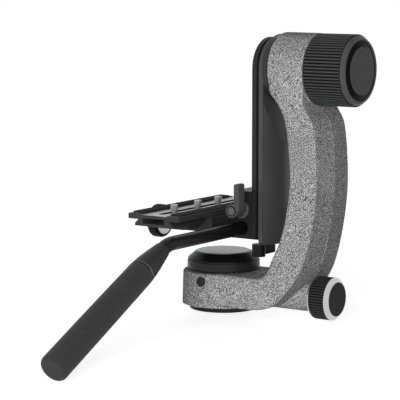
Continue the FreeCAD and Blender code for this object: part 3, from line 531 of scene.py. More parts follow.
@dataclass(frozen=True)
class RibbedGrip:
    """Moulded knob grip, dark in the valleys and grey on the crests as painted shade and light.
    """

    name: str
    axis: Axis
    at: Point
    valley_r: float
    crest_r: float
    crest: Colour
    # The valley and crest colours are painted shade and painted light of the ribs.
    valley: Colour = (0.004, 0.004, 0.0042)
    crest_light_power: float = 1.6
    roughness: float = 0.42
    relief_mm: float = 0.02
    grain_per_m: float = 2900.0
    bloom_per_m: float = 30.0
    bloom_tone: Range = (0.7, 1.0)
    gloss: float = 0.06

    def material(self) -> Material:
        """Builds the tone from the distance to the knob's axis, over a fine grain: painted shade
        in the valleys, painted light towards the crests.

        Returns:
            The grip's skin.
        """
        bench = Bench(self.name)
        out = bench.radius(self.axis, self.at)
        height = bench.span(out, self.valley_r * MM, self.crest_r * MM)
        grain = bench.noise(self.grain_per_m, roughness=0.55)
        bloom = bench.span(bench.noise(self.bloom_per_m, detail=3.0), *USUAL, *self.bloom_tone)
        # Painted light: lighter towards the crests and darker in the valleys, by the distance
        # from the axis.
        painted_light_share = bench.maths("MULTIPLY", bench.maths("POWER", height, self.crest_light_power), bloom)
        return bench.finish(bench.mixed(painted_light_share, self.valley, self.crest),
                            bench.dulled(grain, self.roughness), self.gloss,
                            Normal=bench.relief(grain, self.relief_mm, strength=0.7))


@dataclass(frozen=True)
class Foam:
    """Closed-cell foam rubber: small round cells and a dusty, worn skin."""

    name: str
    colour: Colour = (0.023, 0.023, 0.024)
    dye: Range = (0.5, 1.9)
    cell_mm: float = 0.8
    pit_span: Range = (0.12, 0.55)
    pit_mm: float = 0.1
    crumb_per_m: float = 2600.0
    crumb_mm: float = 0.05
    skin_per_m: float = 26.0
    skin_tone: Range = (0.45, 1.0)
    rough: Range = (0.72, 0.86)
    gloss: float = 0.1
    dust: float = 0.1
    dust_roughness: float = 0.6

    def material(self) -> Material:
        """Builds the cells as pits in a skin whose tone drifts along the grip.

        Returns:
            The foam.
        """
        bench = Bench(self.name)
        cells = bench.step("ShaderNodeTexVoronoi", {
            "Vector": bench.place, "Scale": 1.0 / (self.cell_mm * MM), "Randomness": 1.0,
        }).outputs["Distance"]
        pits = bench.span(cells, *self.pit_span)
        skin = bench.noise(self.skin_per_m, detail=4.0)
        tone = bench.maths("MULTIPLY", pits, bench.span(skin, *USUAL, *self.skin_tone))
        crumb = bench.relief(bench.noise(self.crumb_per_m), self.crumb_mm, strength=0.5,
                             below=bench.relief(pits, self.pit_mm, strength=0.7))
        return bench.finish(bench.dyed(tone, self.colour, self.dye),
                            bench.span(skin, *TIGHT, *self.rough), self.gloss, Normal=crumb,
                            Sheen_Weight=self.dust, Sheen_Roughness=self.dust_roughness)


@dataclass(frozen=True)
class PlateFinish:
    """Black anodised plate whose channel is milled bright after anodising."""

    name: str = "plate_anodised"
    black: Colour = (0.045, 0.045, 0.046)
    black_dye: Range = (0.8, 1.25)
    bright: Colour = (0.38, 0.38, 0.385)
    bright_dye: Range = (0.85, 1.1)
    metallic: Range = (0.25, 0.9)
    rough: Range = (0.32, 0.46)
    grain: Point = (1.0, 0.05, 1.0)
    grain_per_m: float = 2600.0
    cloud_per_m: float = 40.0
    relief_mm: float = 0.012
    gloss: float = 0.06
    channel_half: float = 13.3
    channel_low: float = 91.5
    upward_z: float = 0.5

    def material(self) -> Material:
        """Builds both metals and the milled border between them.

        Returns:
            The plate's metal.
        """
        bench = Bench(self.name)
        grain = bench.noise(self.grain_per_m, detail=3.0, roughness=0.6,
                            at=bench.drawn(self.grain))
        cloud = bench.noise(self.cloud_per_m, detail=3.0)
        place = bench.split(bench.place)
        across = bench.maths("ABSOLUTE", place["X"])
        inside = bench.maths("LESS_THAN", across, self.channel_half * MM)
        above = bench.maths("GREATER_THAN", place["Z"], self.channel_low * MM)
        normal = bench.step("ShaderNodeNewGeometry").outputs["Normal"]
        upward = bench.maths("GREATER_THAN", bench.split(normal)["Z"], self.upward_z)
        channel = bench.maths("MULTIPLY", bench.maths("MULTIPLY", inside, above), upward)
        tone = bench.span(bench.blended(grain, cloud, share=0.5), *TIGHT)
        colour = bench.mixed(channel, bench.dyed(tone, self.black, self.black_dye),
                             bench.dyed(tone, self.bright, self.bright_dye))
        return bench.finish(colour, bench.span(grain, *BROAD, *self.rough), self.gloss,
                            Metallic=bench.span(channel, 0.0, 1.0, *self.metallic),
                            Normal=bench.relief(grain, self.relief_mm, strength=0.6))


# ---- meshes


def in_scene(name: str, data: bpy.types.ID) -> Piece:
    """Puts a new object into the scene.

    Args:
        name: the object's name.
        data: its mesh, lamp or camera.

    Returns:
        The object, at the origin.
    """
    thing = bpy.data.objects.new(name, data)
    bpy.context.scene.collection.objects.link(thing)
    return thing


def standing(name: str, mesh: bpy.types.Mesh) -> Piece:
    """Puts a finished mesh into the scene, smooth but for its sharp edges.

    Args:
        name: the piece's name.
        mesh: the mesh, with the piece's place in it.

    Returns:
        The piece.
    """
    mesh.shade_smooth()
    mesh.set_sharp_from_angle(angle=SMOOTH_ANGLE)
    return in_scene(name, mesh)


def turned_piece(name: str, profile: Profile, axis: Axis, at: Point, steps: int) -> Piece:
    """Turns a profile round an axis into a closed mesh.

    Args:
        name: the piece's name.
        profile: (radius, height) pairs in millimetres. It closes on itself, or on the axis
            where it starts and ends at radius 0.
        axis: direction of the height.
        at: where height 0 lies on the axis, in millimetres.
        steps: faces round the axis.

    Returns:
        The new piece.
    """
    shape = bmesh.new()
    rings: list[list[bmesh.types.BMVert]] = []
    for radius, height in profile:
        if radius == 0:
            rings.append([shape.verts.new((0, 0, height * MM))])
            continue
        rings.append([
            shape.verts.new((radius * MM * math.cos(turn), radius * MM * math.sin(turn),
                             height * MM))
            for turn in (2 * math.pi * i / steps for i in range(steps))
        ])
    closed = profile[0][0] > 0 and profile[-1][0] > 0
    for low, high in zip(rings, rings[1:] + (rings[:1] if closed else [])):
        for i in range(steps):
            j = (i + 1) % steps
            corners = [low[i % len(low)], low[j % len(low)], high[j % len(high)],
                       high[i % len(high)]]
            shape.faces.new(list(dict.fromkeys(corners)))
    bmesh.ops.recalc_face_normals(shape, faces=shape.faces)
    mesh = bpy.data.meshes.new(name)
    shape.to_mesh(mesh)
    shape.free()
    mesh.transform(axis.placed(at))
    return standing(name, mesh)


def rounded(corners: Profile, radii: Sequence[float], steps: int) -> list[tuple[float, float]]:
    """Rounds the corners of a profile.

    Args:
        corners: (radius, height) pairs.
        radii: rounding of each corner, 0 where it stays sharp.
        steps: pieces of each round.

    Returns:
        The rounded profile.
    """
    out: list[tuple[float, float]] = []
    for i, (corner, radius) in enumerate(zip(corners, radii)):
        here = Vector(corner)
        if radius == 0:
            out.append(tuple(here))
            continue
        back = (Vector(corners[i - 1]) - here).normalized()
        ahead = (Vector(corners[(i + 1) % len(corners)]) - here).normalized()
        half = back.angle(ahead) / 2
        start, end = (here + way * (radius / math.tan(half)) for way in (back, ahead))
        for k in range(steps + 1):
            share = k / steps
            point = (1 - share) ** 2 * start + 2 * share * (1 - share) * here + share ** 2 * end
            out.append(tuple(point))
    return out


class Recipe(NodeTree):
    """A Geometry Nodes tree with named sizes, grown into plain meshes."""

    def __init__(self, name: str, sizes: dict[str, str]) -> None:
        """Starts a tree.

        Args:
            name: the tree's name.
            sizes: each input's name and kind, such as Float or Int.
        """
        super().__init__(bpy.data.node_groups.new(name, "GeometryNodeTree"))
        face = self.tree.interface
        face.new_socket("Geometry", in_out="OUTPUT", socket_type="NodeSocketGeometry")
        self.sockets = {
            label: face.new_socket(label, in_out="INPUT",
                                   socket_type=f"NodeSocket{kind}").identifier
            for label, kind in {**sizes, "Finish": "Material"}.items()
        }
        self.entry = self.tree.nodes.new("NodeGroupInput")

    def size(self, label: str) -> Socket:
        """The socket that gives the named size inside the tree."""
        return self.entry.outputs[label]

    def upright(self, **parts: Any) -> Socket:
        """Joins X, Y and Z into a vector socket."""
        return self.step("ShaderNodeCombineXYZ", dict(parts)).outputs[0]

    def cylinder(self, sides: int, radius: Any, depth: Any) -> Socket:
        """Adds a capped cylinder round the origin and returns its mesh."""
        return self.step("GeometryNodeMeshCylinder", {
            "Vertices": sides, "Radius": radius, "Depth": depth,
        }, fill_type="NGON").outputs["Mesh"]

    def swept(self, line: Any, section: Any, capped: bool) -> Socket:
        """Sweeps a section along a line that keeps it upright.

        Args:
            line: curve socket of the line.
            section: curve socket of the section.
            capped: whether the ends are closed.

        Returns:
            The mesh socket.
        """
        kept = self.step("GeometryNodeSetCurveNormal", {"Curve": line}, mode="Z_UP")
        return self.step("GeometryNodeCurveToMesh", {
            "Curve": kept.outputs["Curve"], "Profile Curve": section, "Fill Caps": capped,
        }).outputs["Mesh"]

    def on_points(self, points: Any, piece: Any) -> Socket:
        """Sets a copy of a piece on each point."""
        return self.step("GeometryNodeInstanceOnPoints", {
            "Points": points, "Instance": piece,
        }).outputs["Instances"]

    def lifted(self, shape: Any, length: Any, share: float) -> Socket:
        """Moves a shape up by `share` of a length."""
        rise = self.maths("MULTIPLY", length, share)
        return self.step("GeometryNodeTransform", {
            "Geometry": shape, "Translation": self.upright(Z=rise),
        }).outputs["Geometry"]

    def close(self, shape: Socket) -> None:
        """Ends the tree: makes instances real and gives the finish.

        Args:
            shape: what the tree has made.
        """
        real = self.step("GeometryNodeRealizeInstances", {"Geometry": shape})
        finish = self.step("GeometryNodeSetMaterial", {
            "Geometry": real.outputs[0], "Material": self.size("Finish"),
        })
        self.step("NodeGroupOutput", {"Geometry": finish.outputs[0]})

    def grown(self, name: str, axis: Axis, at: Point, finish: Material,
              sizes: dict[str, float]) -> Piece:
        """Runs the tree into a plain mesh.

        Args:
            name: the piece's name.
            axis: direction of the tree's own Z.
            at: where the tree's origin goes, in millimetres.
            finish: material for the whole piece.
            sizes: value of each named input, in metres or as a count.

        Returns:
            The new piece.
        """
        carrier = in_scene(f"{name}_carrier", bpy.data.meshes.new(name))
        grower = carrier.modifiers.new("Grow", "NODES")
        grower.node_group = self.tree
        for label, value in {**sizes, "Finish": finish}.items():
            grower[self.sockets[label]] = value
        carrier.update_tag()
        depsgraph = bpy.context.evaluated_depsgraph_get()
        mesh = bpy.data.meshes.new_from_object(carrier.evaluated_get(depsgraph))
        carrier.modifiers.remove(grower)
        bpy.data.objects.remove(carrier)
        mesh.transform(axis.placed(at))
        return standing(name, mesh)


def ribbed_sleeve_recipe() -> Recipe:
    """Sleeve with round ribs along it, as on a knob's grip.

    Returns:
        The recipe, with its foot at the origin and its axis along Z.
    """
    rib_sides = 10
    recipe = Recipe("ribbed_sleeve", {
        "Ribs": "Int", "Bore": "Float", "Valley": "Float", "Crest": "Float",
        "Length": "Float", "Rib length": "Float", "Rib width": "Float",
    })
    bore, length, ribs = recipe.size("Bore"), recipe.size("Length"), recipe.size("Ribs")
    wall = recipe.maths("SUBTRACT", recipe.size("Valley"), bore)
    round_line = recipe.step("GeometryNodeCurvePrimitiveCircle", {
        "Resolution": recipe.maths("MULTIPLY", ribs, 2.0),
        "Radius": recipe.maths("MULTIPLY_ADD", wall, 0.5, bore),
    })
    section = recipe.step("GeometryNodeCurvePrimitiveQuadrilateral",
                          {"Width": wall, "Height": length}, mode="RECTANGLE")
    sleeve = recipe.swept(round_line.outputs["Curve"], section.outputs["Curve"], capped=False)
    radius = recipe.maths("MULTIPLY", recipe.size("Rib width"), 0.5)
    rib = recipe.cylinder(rib_sides, radius, recipe.size("Rib length"))
    places = recipe.step("GeometryNodeMeshCircle", {
        "Vertices": ribs, "Radius": recipe.maths("SUBTRACT", recipe.size("Crest"), radius),
    })
    whole = recipe.step("GeometryNodeJoinGeometry")
    for shape in (sleeve, recipe.on_points(places.outputs["Mesh"], rib)):
        recipe.feed(whole.inputs[0], shape)
    recipe.close(recipe.lifted(whole.outputs[0], length, 0.5))
    return recipe


def thread_recipe() -> Recipe:
    """Thread ridge that climbs along Z.

    Returns:
        The recipe, with its foot at the origin and its axis along Z.
    """
    steps_per_turn = 28
    ridge_sides = 4
    recipe = Recipe("thread_ridge", {
        "Turns": "Float", "Radius": "Float", "Ridge": "Float", "Length": "Float",
    })
    climb = recipe.step("GeometryNodeCurveSpiral", {
        "Resolution": steps_per_turn, "Rotations": recipe.size("Turns"),
        "Start Radius": recipe.size("Radius"), "End Radius": recipe.size("Radius"),
        "Height": recipe.size("Length"),
    })
    section = recipe.step("GeometryNodeCurvePrimitiveCircle", {
        "Resolution": ridge_sides, "Radius": recipe.size("Ridge"),
    })
    recipe.close(recipe.swept(climb.outputs["Curve"], section.outputs["Curve"], capped=True))
    return recipe


def socket_heads_recipe() -> Recipe:
    """Ring of flat screw heads with hexagon sockets, facing +Z.

    Returns:
        The recipe, with the heads' faces at height 0.
    """
    head_sides = 32
    socket_sides = 6
    recipe = Recipe("socket_heads", {
        "Count": "Int", "Circle": "Float", "Head": "Float", "Depth": "Float",
        "Socket": "Float", "Phase": "Float",
    })
    count, circle, depth = recipe.size("Count"), recipe.size("Circle"), recipe.size("Depth")
    head = recipe.lifted(recipe.cylinder(head_sides, recipe.size("Head"), depth), depth, -0.5)
    cut = recipe.step("GeometryNodeMeshBoolean", {
        "Mesh 1": head, "Mesh 2": recipe.cylinder(socket_sides, recipe.size("Socket"), depth),
    }, operation="DIFFERENCE", solver="EXACT")
    number = recipe.step("GeometryNodeInputIndex").outputs[0]
    turn = recipe.maths("MULTIPLY_ADD", recipe.maths("DIVIDE", number, count), 2 * math.pi,
                        recipe.size("Phase"))
    places = recipe.step("GeometryNodePoints", {
        "Count": count,
        "Position": recipe.upright(
            X=recipe.maths("MULTIPLY", recipe.maths("COSINE", turn), circle),
            Y=recipe.maths("MULTIPLY", recipe.maths("SINE", turn), circle),
        ),
    })
    recipe.close(recipe.on_points(places.outputs[0], cut.outputs["Mesh"]))
    return recipe


# ---- shop and small pieces


@dataclass
class Shop:
    """What every sub-assembly works with: the frame, the recipes and the materials so far."""

    frame: dict[str, Any]
    ribbed_sleeve: Recipe = field(default_factory=ribbed_sleeve_recipe)
    thread: Recipe = field(default_factory=thread_recipe)
    socket_heads: Recipe = field(default_factory=socket_heads_recipe)
    coats: dict[Finish, Material] = field(default_factory=dict)

    def coat(self, finish: Finish) -> Material:
        """Gives a finish's material, built when it is first asked for.

        Args:
            finish: the finish.

        Returns:
            The material, which every piece in this finish shares.
        """
        if finish not in self.coats:
            self.coats[finish] = finish.material()
        return self.coats[finish]

    def dress(self, finish: Finish, *nodes: str) -> None:
        """Gives frame nodes a finish.

        Args:
            finish: the finish.
            nodes: names of the nodes.
        """
        coat = self.coat(finish)
        for name in nodes:
            for place in self.frame["nodes"][name].material_slots:
                place.material = coat
            LOG.info("dressed %s in %s", name, coat.name)

    def fit(self, piece: Piece, body: str, slot: str, *replaced: str,
            finish: Finish | None = None) -> None:
        """Fits a new piece to the body that it moves with.

        Args:
            piece: the piece.
            body: name of the body.
            slot: the record's material slot for the piece; not used.
            replaced: nodes that the piece stands for.
            finish: finish of a piece that has none yet.
        """
        if finish is not None:
            piece.data.materials.append(self.coat(finish))
        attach(piece, body)
        if replaced:
            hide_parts(*replaced)
        LOG.info("fitted %s to %s", piece.name, body)


@dataclass(frozen=True)
class KnobGrip:
    """Ribbed grip of a knob, in the place of the frame's plain one."""

    foot: Point
    radius: float
    wall: float
    length: float
    ribs: int
    rib_depth: float
    rib_width: float
    # Colour of the rib crests, lighter than the valleys as painted light.
    crest: Colour
    rib_short: float = 0.0
    axis: Axis = Axis.X

    def fit(self, shop: Shop, knob: str) -> None:
        """Grows the sleeve with its ribs and fits it.

        Args:
            shop: what it is made with.
            knob: name of the knob's body, which its node's name starts with.
        """
        valley = self.radius - self.rib_depth
        finish = RibbedGrip(f"{knob}_grip", self.axis, self.foot, valley, self.radius, self.crest)
        grip = shop.ribbed_sleeve.grown(f"{knob}_ribs", self.axis, self.foot, shop.coat(finish), {
            "Ribs": self.ribs, "Bore": (self.radius - self.wall) * MM, "Valley": valley * MM,
            "Crest": self.radius * MM, "Length": self.length * MM,
            "Rib length": (self.length - self.rib_short) * MM, "Rib width": self.rib_width * MM,
        })
        shop.fit(grip, knob, "knob_plastic", f"{knob}_grip")


@dataclass(frozen=True)
class ScrewHeads:
    """Ring of socket heads sunk into a face, in the place of the frame's plain screws."""

    axis: Axis
    face: Point
    sunk: float
    count: int
    circle_r: float
    head_r: float
    depth: float
    socket_r: float
    phase: float

    def fit(self, shop: Shop, name: str, finish: Finish, body: str, node: str) -> None:
        """Grows the heads and fits them.

        Args:
            shop: what they are made with.
            name: the piece's name.
            finish: the screws' finish.
            body: name of the body.
            node: the node that they stand for.
        """
        at = tuple(Vector(self.face) - Vector(self.axis.value) * self.sunk)
        heads = shop.socket_heads.grown(name, self.axis, at, shop.coat(finish), {
            "Count": self.count, "Circle": self.circle_r * MM, "Head": self.head_r * MM,
            "Depth": self.depth * MM, "Socket": self.socket_r * MM, "Phase": self.phase,
        })
        shop.fit(heads, body, "screw_steel", node)


@dataclass(frozen=True)
class ThreadRidge:
    """Ridge of a thread; its middle climbs along a cylinder of radius `line_r`."""

    line_r: float
    ridge_r: float
    pitch: float
    length: float

    def fit(self, shop: Shop, name: str, foot: Point, finish: Finish, body: str,
            slot: str) -> None:
        """Grows the ridge and fits it.

        Args:
            shop: what it is made with.
            name: the piece's name.
            foot: where the ridge starts to climb.
            finish: the thread's finish.
            body: name of the body.
            slot: the record's material slot.
        """
        ridge = shop.thread.grown(name, Axis.Z, foot, shop.coat(finish), {
            "Turns": self.length / self.pitch, "Radius": self.line_r * MM,
            "Ridge": self.ridge_r * MM, "Length": self.length * MM,
        })
        shop.fit(ridge, body, slot)


# ---- sub-assemblies


@dataclass
class SubAssembly:
    """A part of the head that dresses its own nodes and fits its own pieces."""

    shop: Shop

    def build(self) -> None:
        """Builds the sub-assembly; each kind has its own way."""
        raise NotImplementedError


@dataclass
class PanBase(SubAssembly):
    """Round base with its tripod thread, spindle, bearings and brake."""

    thread_r: float = 3.97
    thread_depth: float = 12.0
    thread_pitch: float = 1.5875
    thread_inset: float = 0.4
    ridge_sunk: float = 0.15
    ridge_r: float = 0.42
    heads: ScrewHeads = ScrewHeads(Axis.Z_DOWN, face=(0.0, 0.0, 0.0), sunk=0.4, count=3,
                                   circle_r=14.5, head_r=3.6, depth=3.0, socket_r=1.9,
                                   phase=-math.pi / 2)

    def build(self) -> None:
        """Dresses the base and adds its thread and screw heads."""
        steel = Turned("spindle_steel", STEEL, Axis.Z, roughness=0.3)
        race = Turned("bearing_steel", RACE_STEEL, Axis.Z, roughness=0.2)
        black = Anodised("base_black", (0.02, 0.02, 0.021), roughness=0.36, metallic=0.3)
        nylon = Moulded("brake_nylon", NYLON, roughness=0.55)
        screw = Turned("screw_black", SCREW_BLACK, Axis.Z, roughness=0.35)
        self.shop.dress(black, "base_ring")
        self.shop.dress(steel, "thread_insert", "pan_spindle", "spindle_nut")
        self.shop.dress(race, "pan_bearings")
        self.shop.dress(nylon, "pan_brake_shoe")
        self.thread()
        self.heads.fit(self.shop, "base_screw_heads", screw, "base", "base_screws")

    def thread(self) -> None:
        """Cuts the ridge of the tripod thread inside its insert."""
        finish = Turned("thread_steel", (0.55, 0.54, 0.52), Axis.Z, roughness=0.32)
        ridge = ThreadRidge(self.thread_r + self.ridge_sunk, self.ridge_r, self.thread_pitch,
                            self.thread_depth - 2 * self.thread_inset)
        foot = (0.0, 0.0, self.thread_inset)
        ridge.fit(self.shop, "tripod_thread", foot, finish, "base", "steel")


@dataclass
class CastArm(SubAssembly):
    """The casting with its pan housing and tilt head, and the cap on the housing."""

    cap_rings_per_mm: float = 2.5
    disc_rings_per_mm: float = 2.0

    def build(self) -> None:
        """Dresses the casting, its plug and the cap."""
        ring = Turned("cap_ring_black", (0.03, 0.03, 0.031), Axis.Z, roughness=0.34,
                      metallic=0.4, rings_per_mm=self.cap_rings_per_mm)
        cone = Turned("cap_cone_black", (0.008, 0.008, 0.0085), Axis.Z, roughness=0.3,
                      metallic=0.3, rings_per_mm=self.cap_rings_per_mm)
        disc = Turned("cap_disc_grey", (0.27, 0.27, 0.272), Axis.Z, roughness=0.38,
                      metallic=0.8, rings_per_mm=self.disc_rings_per_mm)
        rubber = Moulded("plug_rubber", (0.03, 0.03, 0.03), roughness=0.6)
        self.shop.dress(Hammertone(), "arm_casting")
        self.shop.dress(rubber, "housing_plug")
        self.shop.dress(ring, "cap_ring")
        self.shop.dress(cone, "cap_cone")
        self.shop.dress(disc, "cap_disc")


@dataclass
class TiltAxle(SubAssembly):
    """Bearings, friction discs, shaft and collar between the head and the rail."""

    centre: Point = (0.0, 0.0, 211.0)

    def build(self) -> None:
        """Dresses the axle's parts."""
        line = (Axis.X, self.centre)
        race = Turned("tilt_bearing_steel", RACE_STEEL, *line, roughness=0.2)
        steel = Turned("shaft_steel", (0.52, 0.52, 0.51), *line, roughness=0.26)
        collar = Turned("collar_black", HUB_BLACK, *line, roughness=0.36, metallic=0.6)
        hub = Turned("hub_black", HUB_BLACK, *line, roughness=0.36, metallic=0.6,
                     rings_per_mm=2.5)
        lining = Moulded("friction_lining", (0.3, 0.24, 0.17), roughness=0.7)
        self.shop.dress(race, "tilt_bearings")
        self.shop.dress(steel, "tilt_shaft", "tilt_shaft_nut", "tilt_turning_discs")
        self.shop.dress(collar, "knob_collar")
        self.shop.dress(hub, "hub_disc")
        self.shop.dress(lining, "tilt_fixed_discs")


@dataclass
class TiltKnob(SubAssembly):
    """Big ribbed knob with a lipped rim, a glossy dish and a plain badge disc."""

    grip: KnobGrip = KnobGrip(foot=(96.6, 0.0, 211.0), radius=30.07, wall=3.2, length=34.6,
                              ribs=68, rib_depth=1.0, rib_width=1.9, crest=(0.078, 0.078, 0.08))
    rim_h: float = 3.8
    rim_r: float = 28.9
    rim_side_h: float = 0.9
    rim_top_r: float = 26.9
    rim_roundings: tuple[float, ...] = (0.0, 0.0, 0.4, 1.3, 0.6)
    round_steps: int = 5
    dish_r: float = 25.0
    dish_depth: float = 0.9
    dish_in_rim: float = 0.1
    badge_r: float = 19.8
    badge_proud: float = 1.4
    badge_reveal: float = 0.6
    badge_seat_h: float = 2.7
    steps: int = 144

    def front(self) -> Point:
        """Where the ribbed grip ends and the rim starts, on the knob's axis."""
        x, y, z = self.grip.foot
        return (x + self.grip.length, y, z)

    def build(self) -> None:
        """Makes the grip, rim and dish, and dresses the core and badge."""
        line = (Axis.X, self.grip.foot)
        core = Turned("knob_core_black", (0.03, 0.03, 0.03), *line, roughness=0.4, metallic=0.3)
        badge = Turned("badge_grey", (0.058, 0.058, 0.059), *line, roughness=0.42, metallic=0.2,
                       rings_per_mm=2.0)
        rim = Turned("knob_rim_grey", (0.075, 0.075, 0.076), *line, roughness=0.36, metallic=0.15,
                     rings_per_mm=2.0)
        dish = Turned("knob_dish_black", (0.002, 0.002, 0.0022), *line, roughness=0.24,
                      metallic=0.0, gloss=0.03)
        self.shop.dress(core, "tilt_knob_core")
        self.shop.dress(badge, "tilt_knob_badge")
        self.grip.fit(self.shop, "tilt_knob")
        self.shop.fit(self.rim(), "tilt_knob", "satin_black", finish=rim)
        self.shop.fit(self.dish(), "tilt_knob", "satin_black", "tilt_knob_bezel", finish=dish)

    def rim(self) -> Piece:
        """Turns the rim with its rounded lip.

        Returns:
            The rim.
        """
        corners = ((self.dish_r, 0.0), (self.rim_r, 0.0), (self.rim_r, self.rim_side_h),
                   (self.rim_top_r, self.rim_h), (self.dish_r, self.rim_h))
        profile = rounded(corners, self.rim_roundings, self.round_steps)
        return turned_piece("tilt_knob_rim", profile, Axis.X, self.front(), self.steps)

    def dish(self) -> Piece:
        """Turns the dish between the rim and the badge.

        Returns:
            The dish.
        """
        edge = self.dish_r + self.dish_in_rim
        top = self.rim_h + self.badge_proud - self.badge_reveal
        profile = ((0.0, 0.0), (edge, 0.0), (edge, self.rim_h - self.dish_depth),
                   (self.badge_r, top), (self.badge_r, self.badge_seat_h),
                   (0.0, self.badge_seat_h))
        return turned_piece("tilt_knob_dish", profile, Axis.X, self.front(), self.steps)


@dataclass
class PanKnob(SubAssembly):
    """Ribbed pan lock knob between two bright rings, with a dark face."""

    grip: KnobGrip = KnobGrip(foot=(96.4, 0.0, 18.4), radius=18.2, wall=2.4, length=15.0,
                              ribs=48, rib_depth=0.7, rib_width=1.7, rib_short=0.6,
                              crest=(0.05, 0.05, 0.051))

    def build(self) -> None:
        """Makes the grip and dresses the rest."""
        line = (Axis.X, self.grip.foot)
        silver = Turned("knob_silver", (0.58, 0.58, 0.585), *line, roughness=0.34,
                        rings_per_mm=4.0)
        steel = Turned("lock_steel", STEEL, *line, roughness=0.3)
        face = Moulded("knob_face", (0.013, 0.013, 0.0135), roughness=0.42, grain_mm=0.5)
        self.shop.dress(silver, "pan_knob_core")
        self.shop.dress(face, "pan_knob_face")
        self.shop.dress(steel, "pan_lock_rod")
        self.grip.fit(self.shop, "pan_knob")


@dataclass
class SwingRail(SubAssembly):
    """Rail that swings on the tilt axis, its hub screws and the lever under it."""

    lengthwise: Point = (1.0, 1.0, 0.06)
    heads: ScrewHeads = ScrewHeads(Axis.X_BACK, face=(45.0, 0.0, 211.0), sunk=0.3, count=4,
                                   circle_r=15.0, head_r=3.8, depth=2.4, socket_r=1.7,
                                   phase=math.pi / 4)

    def build(self) -> None:
        """Dresses the rail and its lever, and sets the screw heads."""
        guide = Anodised("rail_black", (0.032, 0.032, 0.033), roughness=0.36, metallic=0.25,
                         grain=self.lengthwise)
        # The rail's back is the guide's black anodising in a lighter colour: painted light from
        # the right.
        back = Anodised("rail_back_painted_light", (0.075, 0.075, 0.076), roughness=0.34, metallic=0.3,
                        grain=self.lengthwise)
        lever = Anodised("stop_black", (0.007, 0.007, 0.0073), roughness=0.3, metallic=0.05,
                         gloss=0.12)
        screw = Turned("rail_screw_black", SCREW_BLACK, Axis.X, roughness=0.35)
        self.shop.dress(guide, "rail_guide")
        self.shop.dress(back, "rail_back")
        self.shop.dress(lever, "end_lever")
        self.shop.dress(screw, "end_lever_screw")
        self.heads.fit(self.shop, "rail_screw_heads", screw, "swing", "rail_screws")


@dataclass
class HeightBlock(SubAssembly):
    """Sliding block with its lock lever and the pan bar's grub screw."""

    lever_at: Point = (38.1, 0.0, 92.5)
    cap_inner_r: float = 3.45
    grub: ScrewHeads = ScrewHeads(Axis.Z_DOWN, face=(38.5, -15.0, 67.5), sunk=0.05, count=1,
                                  circle_r=0.0, head_r=2.45, depth=2.8, socket_r=1.45, phase=0.0)

    def build(self) -> None:
        """Dresses the block and lever, and sets the grub screw's socket."""
        line = (Axis.Y, self.lever_at)
        # The cap's near-black border outside cap_inner_r is a painted shadow line round the cap.
        cap = Turned("lever_cap_grey", (0.135, 0.135, 0.137), *line, roughness=0.38, metallic=0.3,
                     border_r=self.cap_inner_r)
        steel = Turned("lever_steel", STEEL, *line, roughness=0.3)
        grub = Turned("grub_black", (0.14, 0.14, 0.145), Axis.Z, self.grub.face, roughness=0.35)
        block = Anodised("block_black", (0.019, 0.019, 0.0195), roughness=0.4, metallic=0.15)
        lever = Moulded("lever_grey", (0.08, 0.08, 0.082), roughness=0.42, grain_mm=0.5)
        nylon = Moulded("pad_nylon", NYLON, roughness=0.55)
        self.shop.dress(block, "slider_block")
        self.shop.dress(lever, "lock_lever")
        self.shop.dress(cap, "lever_cap")
        self.shop.dress(steel, "lever_shaft")
        self.shop.dress(nylon, "lock_pad")
        self.grub.fit(self.shop, "bar_grub_screw", grub, "slider", "bar_set_screw")


@dataclass
class Clamp(SubAssembly):
    """Platform with its moving jaw and the jaw's ribbed knob."""

    lengthwise: Point = (1.0, 0.06, 1.0)
    bright_r: float = 11.2
    grip: KnobGrip = KnobGrip(foot=(-32.4, -45.0, 78.8), radius=14.2, wall=2.2, length=7.4,
                              ribs=36, rib_depth=0.6, rib_width=1.6, rib_short=0.5,
                              crest=(0.06, 0.06, 0.062), axis=Axis.X_BACK)

    def build(self) -> None:
        """Makes the knob's grip and dresses the rest."""
        line = (Axis.X, self.grip.foot)
        black = Anodised("clamp_black", (0.04, 0.04, 0.041), roughness=0.36, metallic=0.3,
                         grain=self.lengthwise)
        steel = Turned("jaw_steel", (0.55, 0.55, 0.54), *line, roughness=0.28)
        silver = Turned("jaw_silver", (0.5, 0.5, 0.505), *line, roughness=0.26,
                        border_r=self.bright_r)
        core = Moulded("jaw_knob_face", (0.02, 0.02, 0.021), roughness=0.4)
        self.shop.dress(black, "platform_base", "moving_jaw")
        self.shop.dress(steel, "jaw_guide_pins", "jaw_screw", "platform_screws")
        self.shop.dress(silver, "jaw_knob_collar")
        self.shop.dress(core, "jaw_knob_core")
        self.grip.fit(self.shop, "jaw_knob")


@dataclass
class SlidingPlate(SubAssembly):
    """Dovetail plate with rubber strips and three camera screws on washers."""

    screw_y: tuple[float, ...] = (-75.0, -40.0, -9.0)
    screw_r: float = 3.1
    thread_z: float = 94.4
    thread_top_z: float = 98.1
    thread_pitch: float = 1.27
    ridge_sunk: float = 0.15
    ridge_r: float = 0.36

    def build(self) -> None:
        """Dresses the plate and adds the screws' threads."""
        strips = Moulded("strip_rubber", (0.022, 0.022, 0.022), roughness=0.7, grain_mm=0.5,
                         relief_mm=0.04)
        self.shop.dress(PlateFinish(), "quick_plate")
        self.shop.dress(strips, "plate_strips")
        ridge = ThreadRidge(self.screw_r - self.ridge_sunk, self.ridge_r, self.thread_pitch,
                            self.thread_top_z - self.thread_z)
        for number, y in enumerate(self.screw_y, 1):
            steel = Turned(f"camera_screw_steel_{number}", (0.46, 0.46, 0.465), Axis.Z,
                           (0.0, y, 0.0), roughness=0.5)
            self.shop.dress(steel, f"camera_screw_{number}", f"carrier_washer_{number}")
            ridge.fit(self.shop, f"camera_thread_{number}", (0.0, y, self.thread_z), steel,
                      f"stud_{number}", "stud_steel")


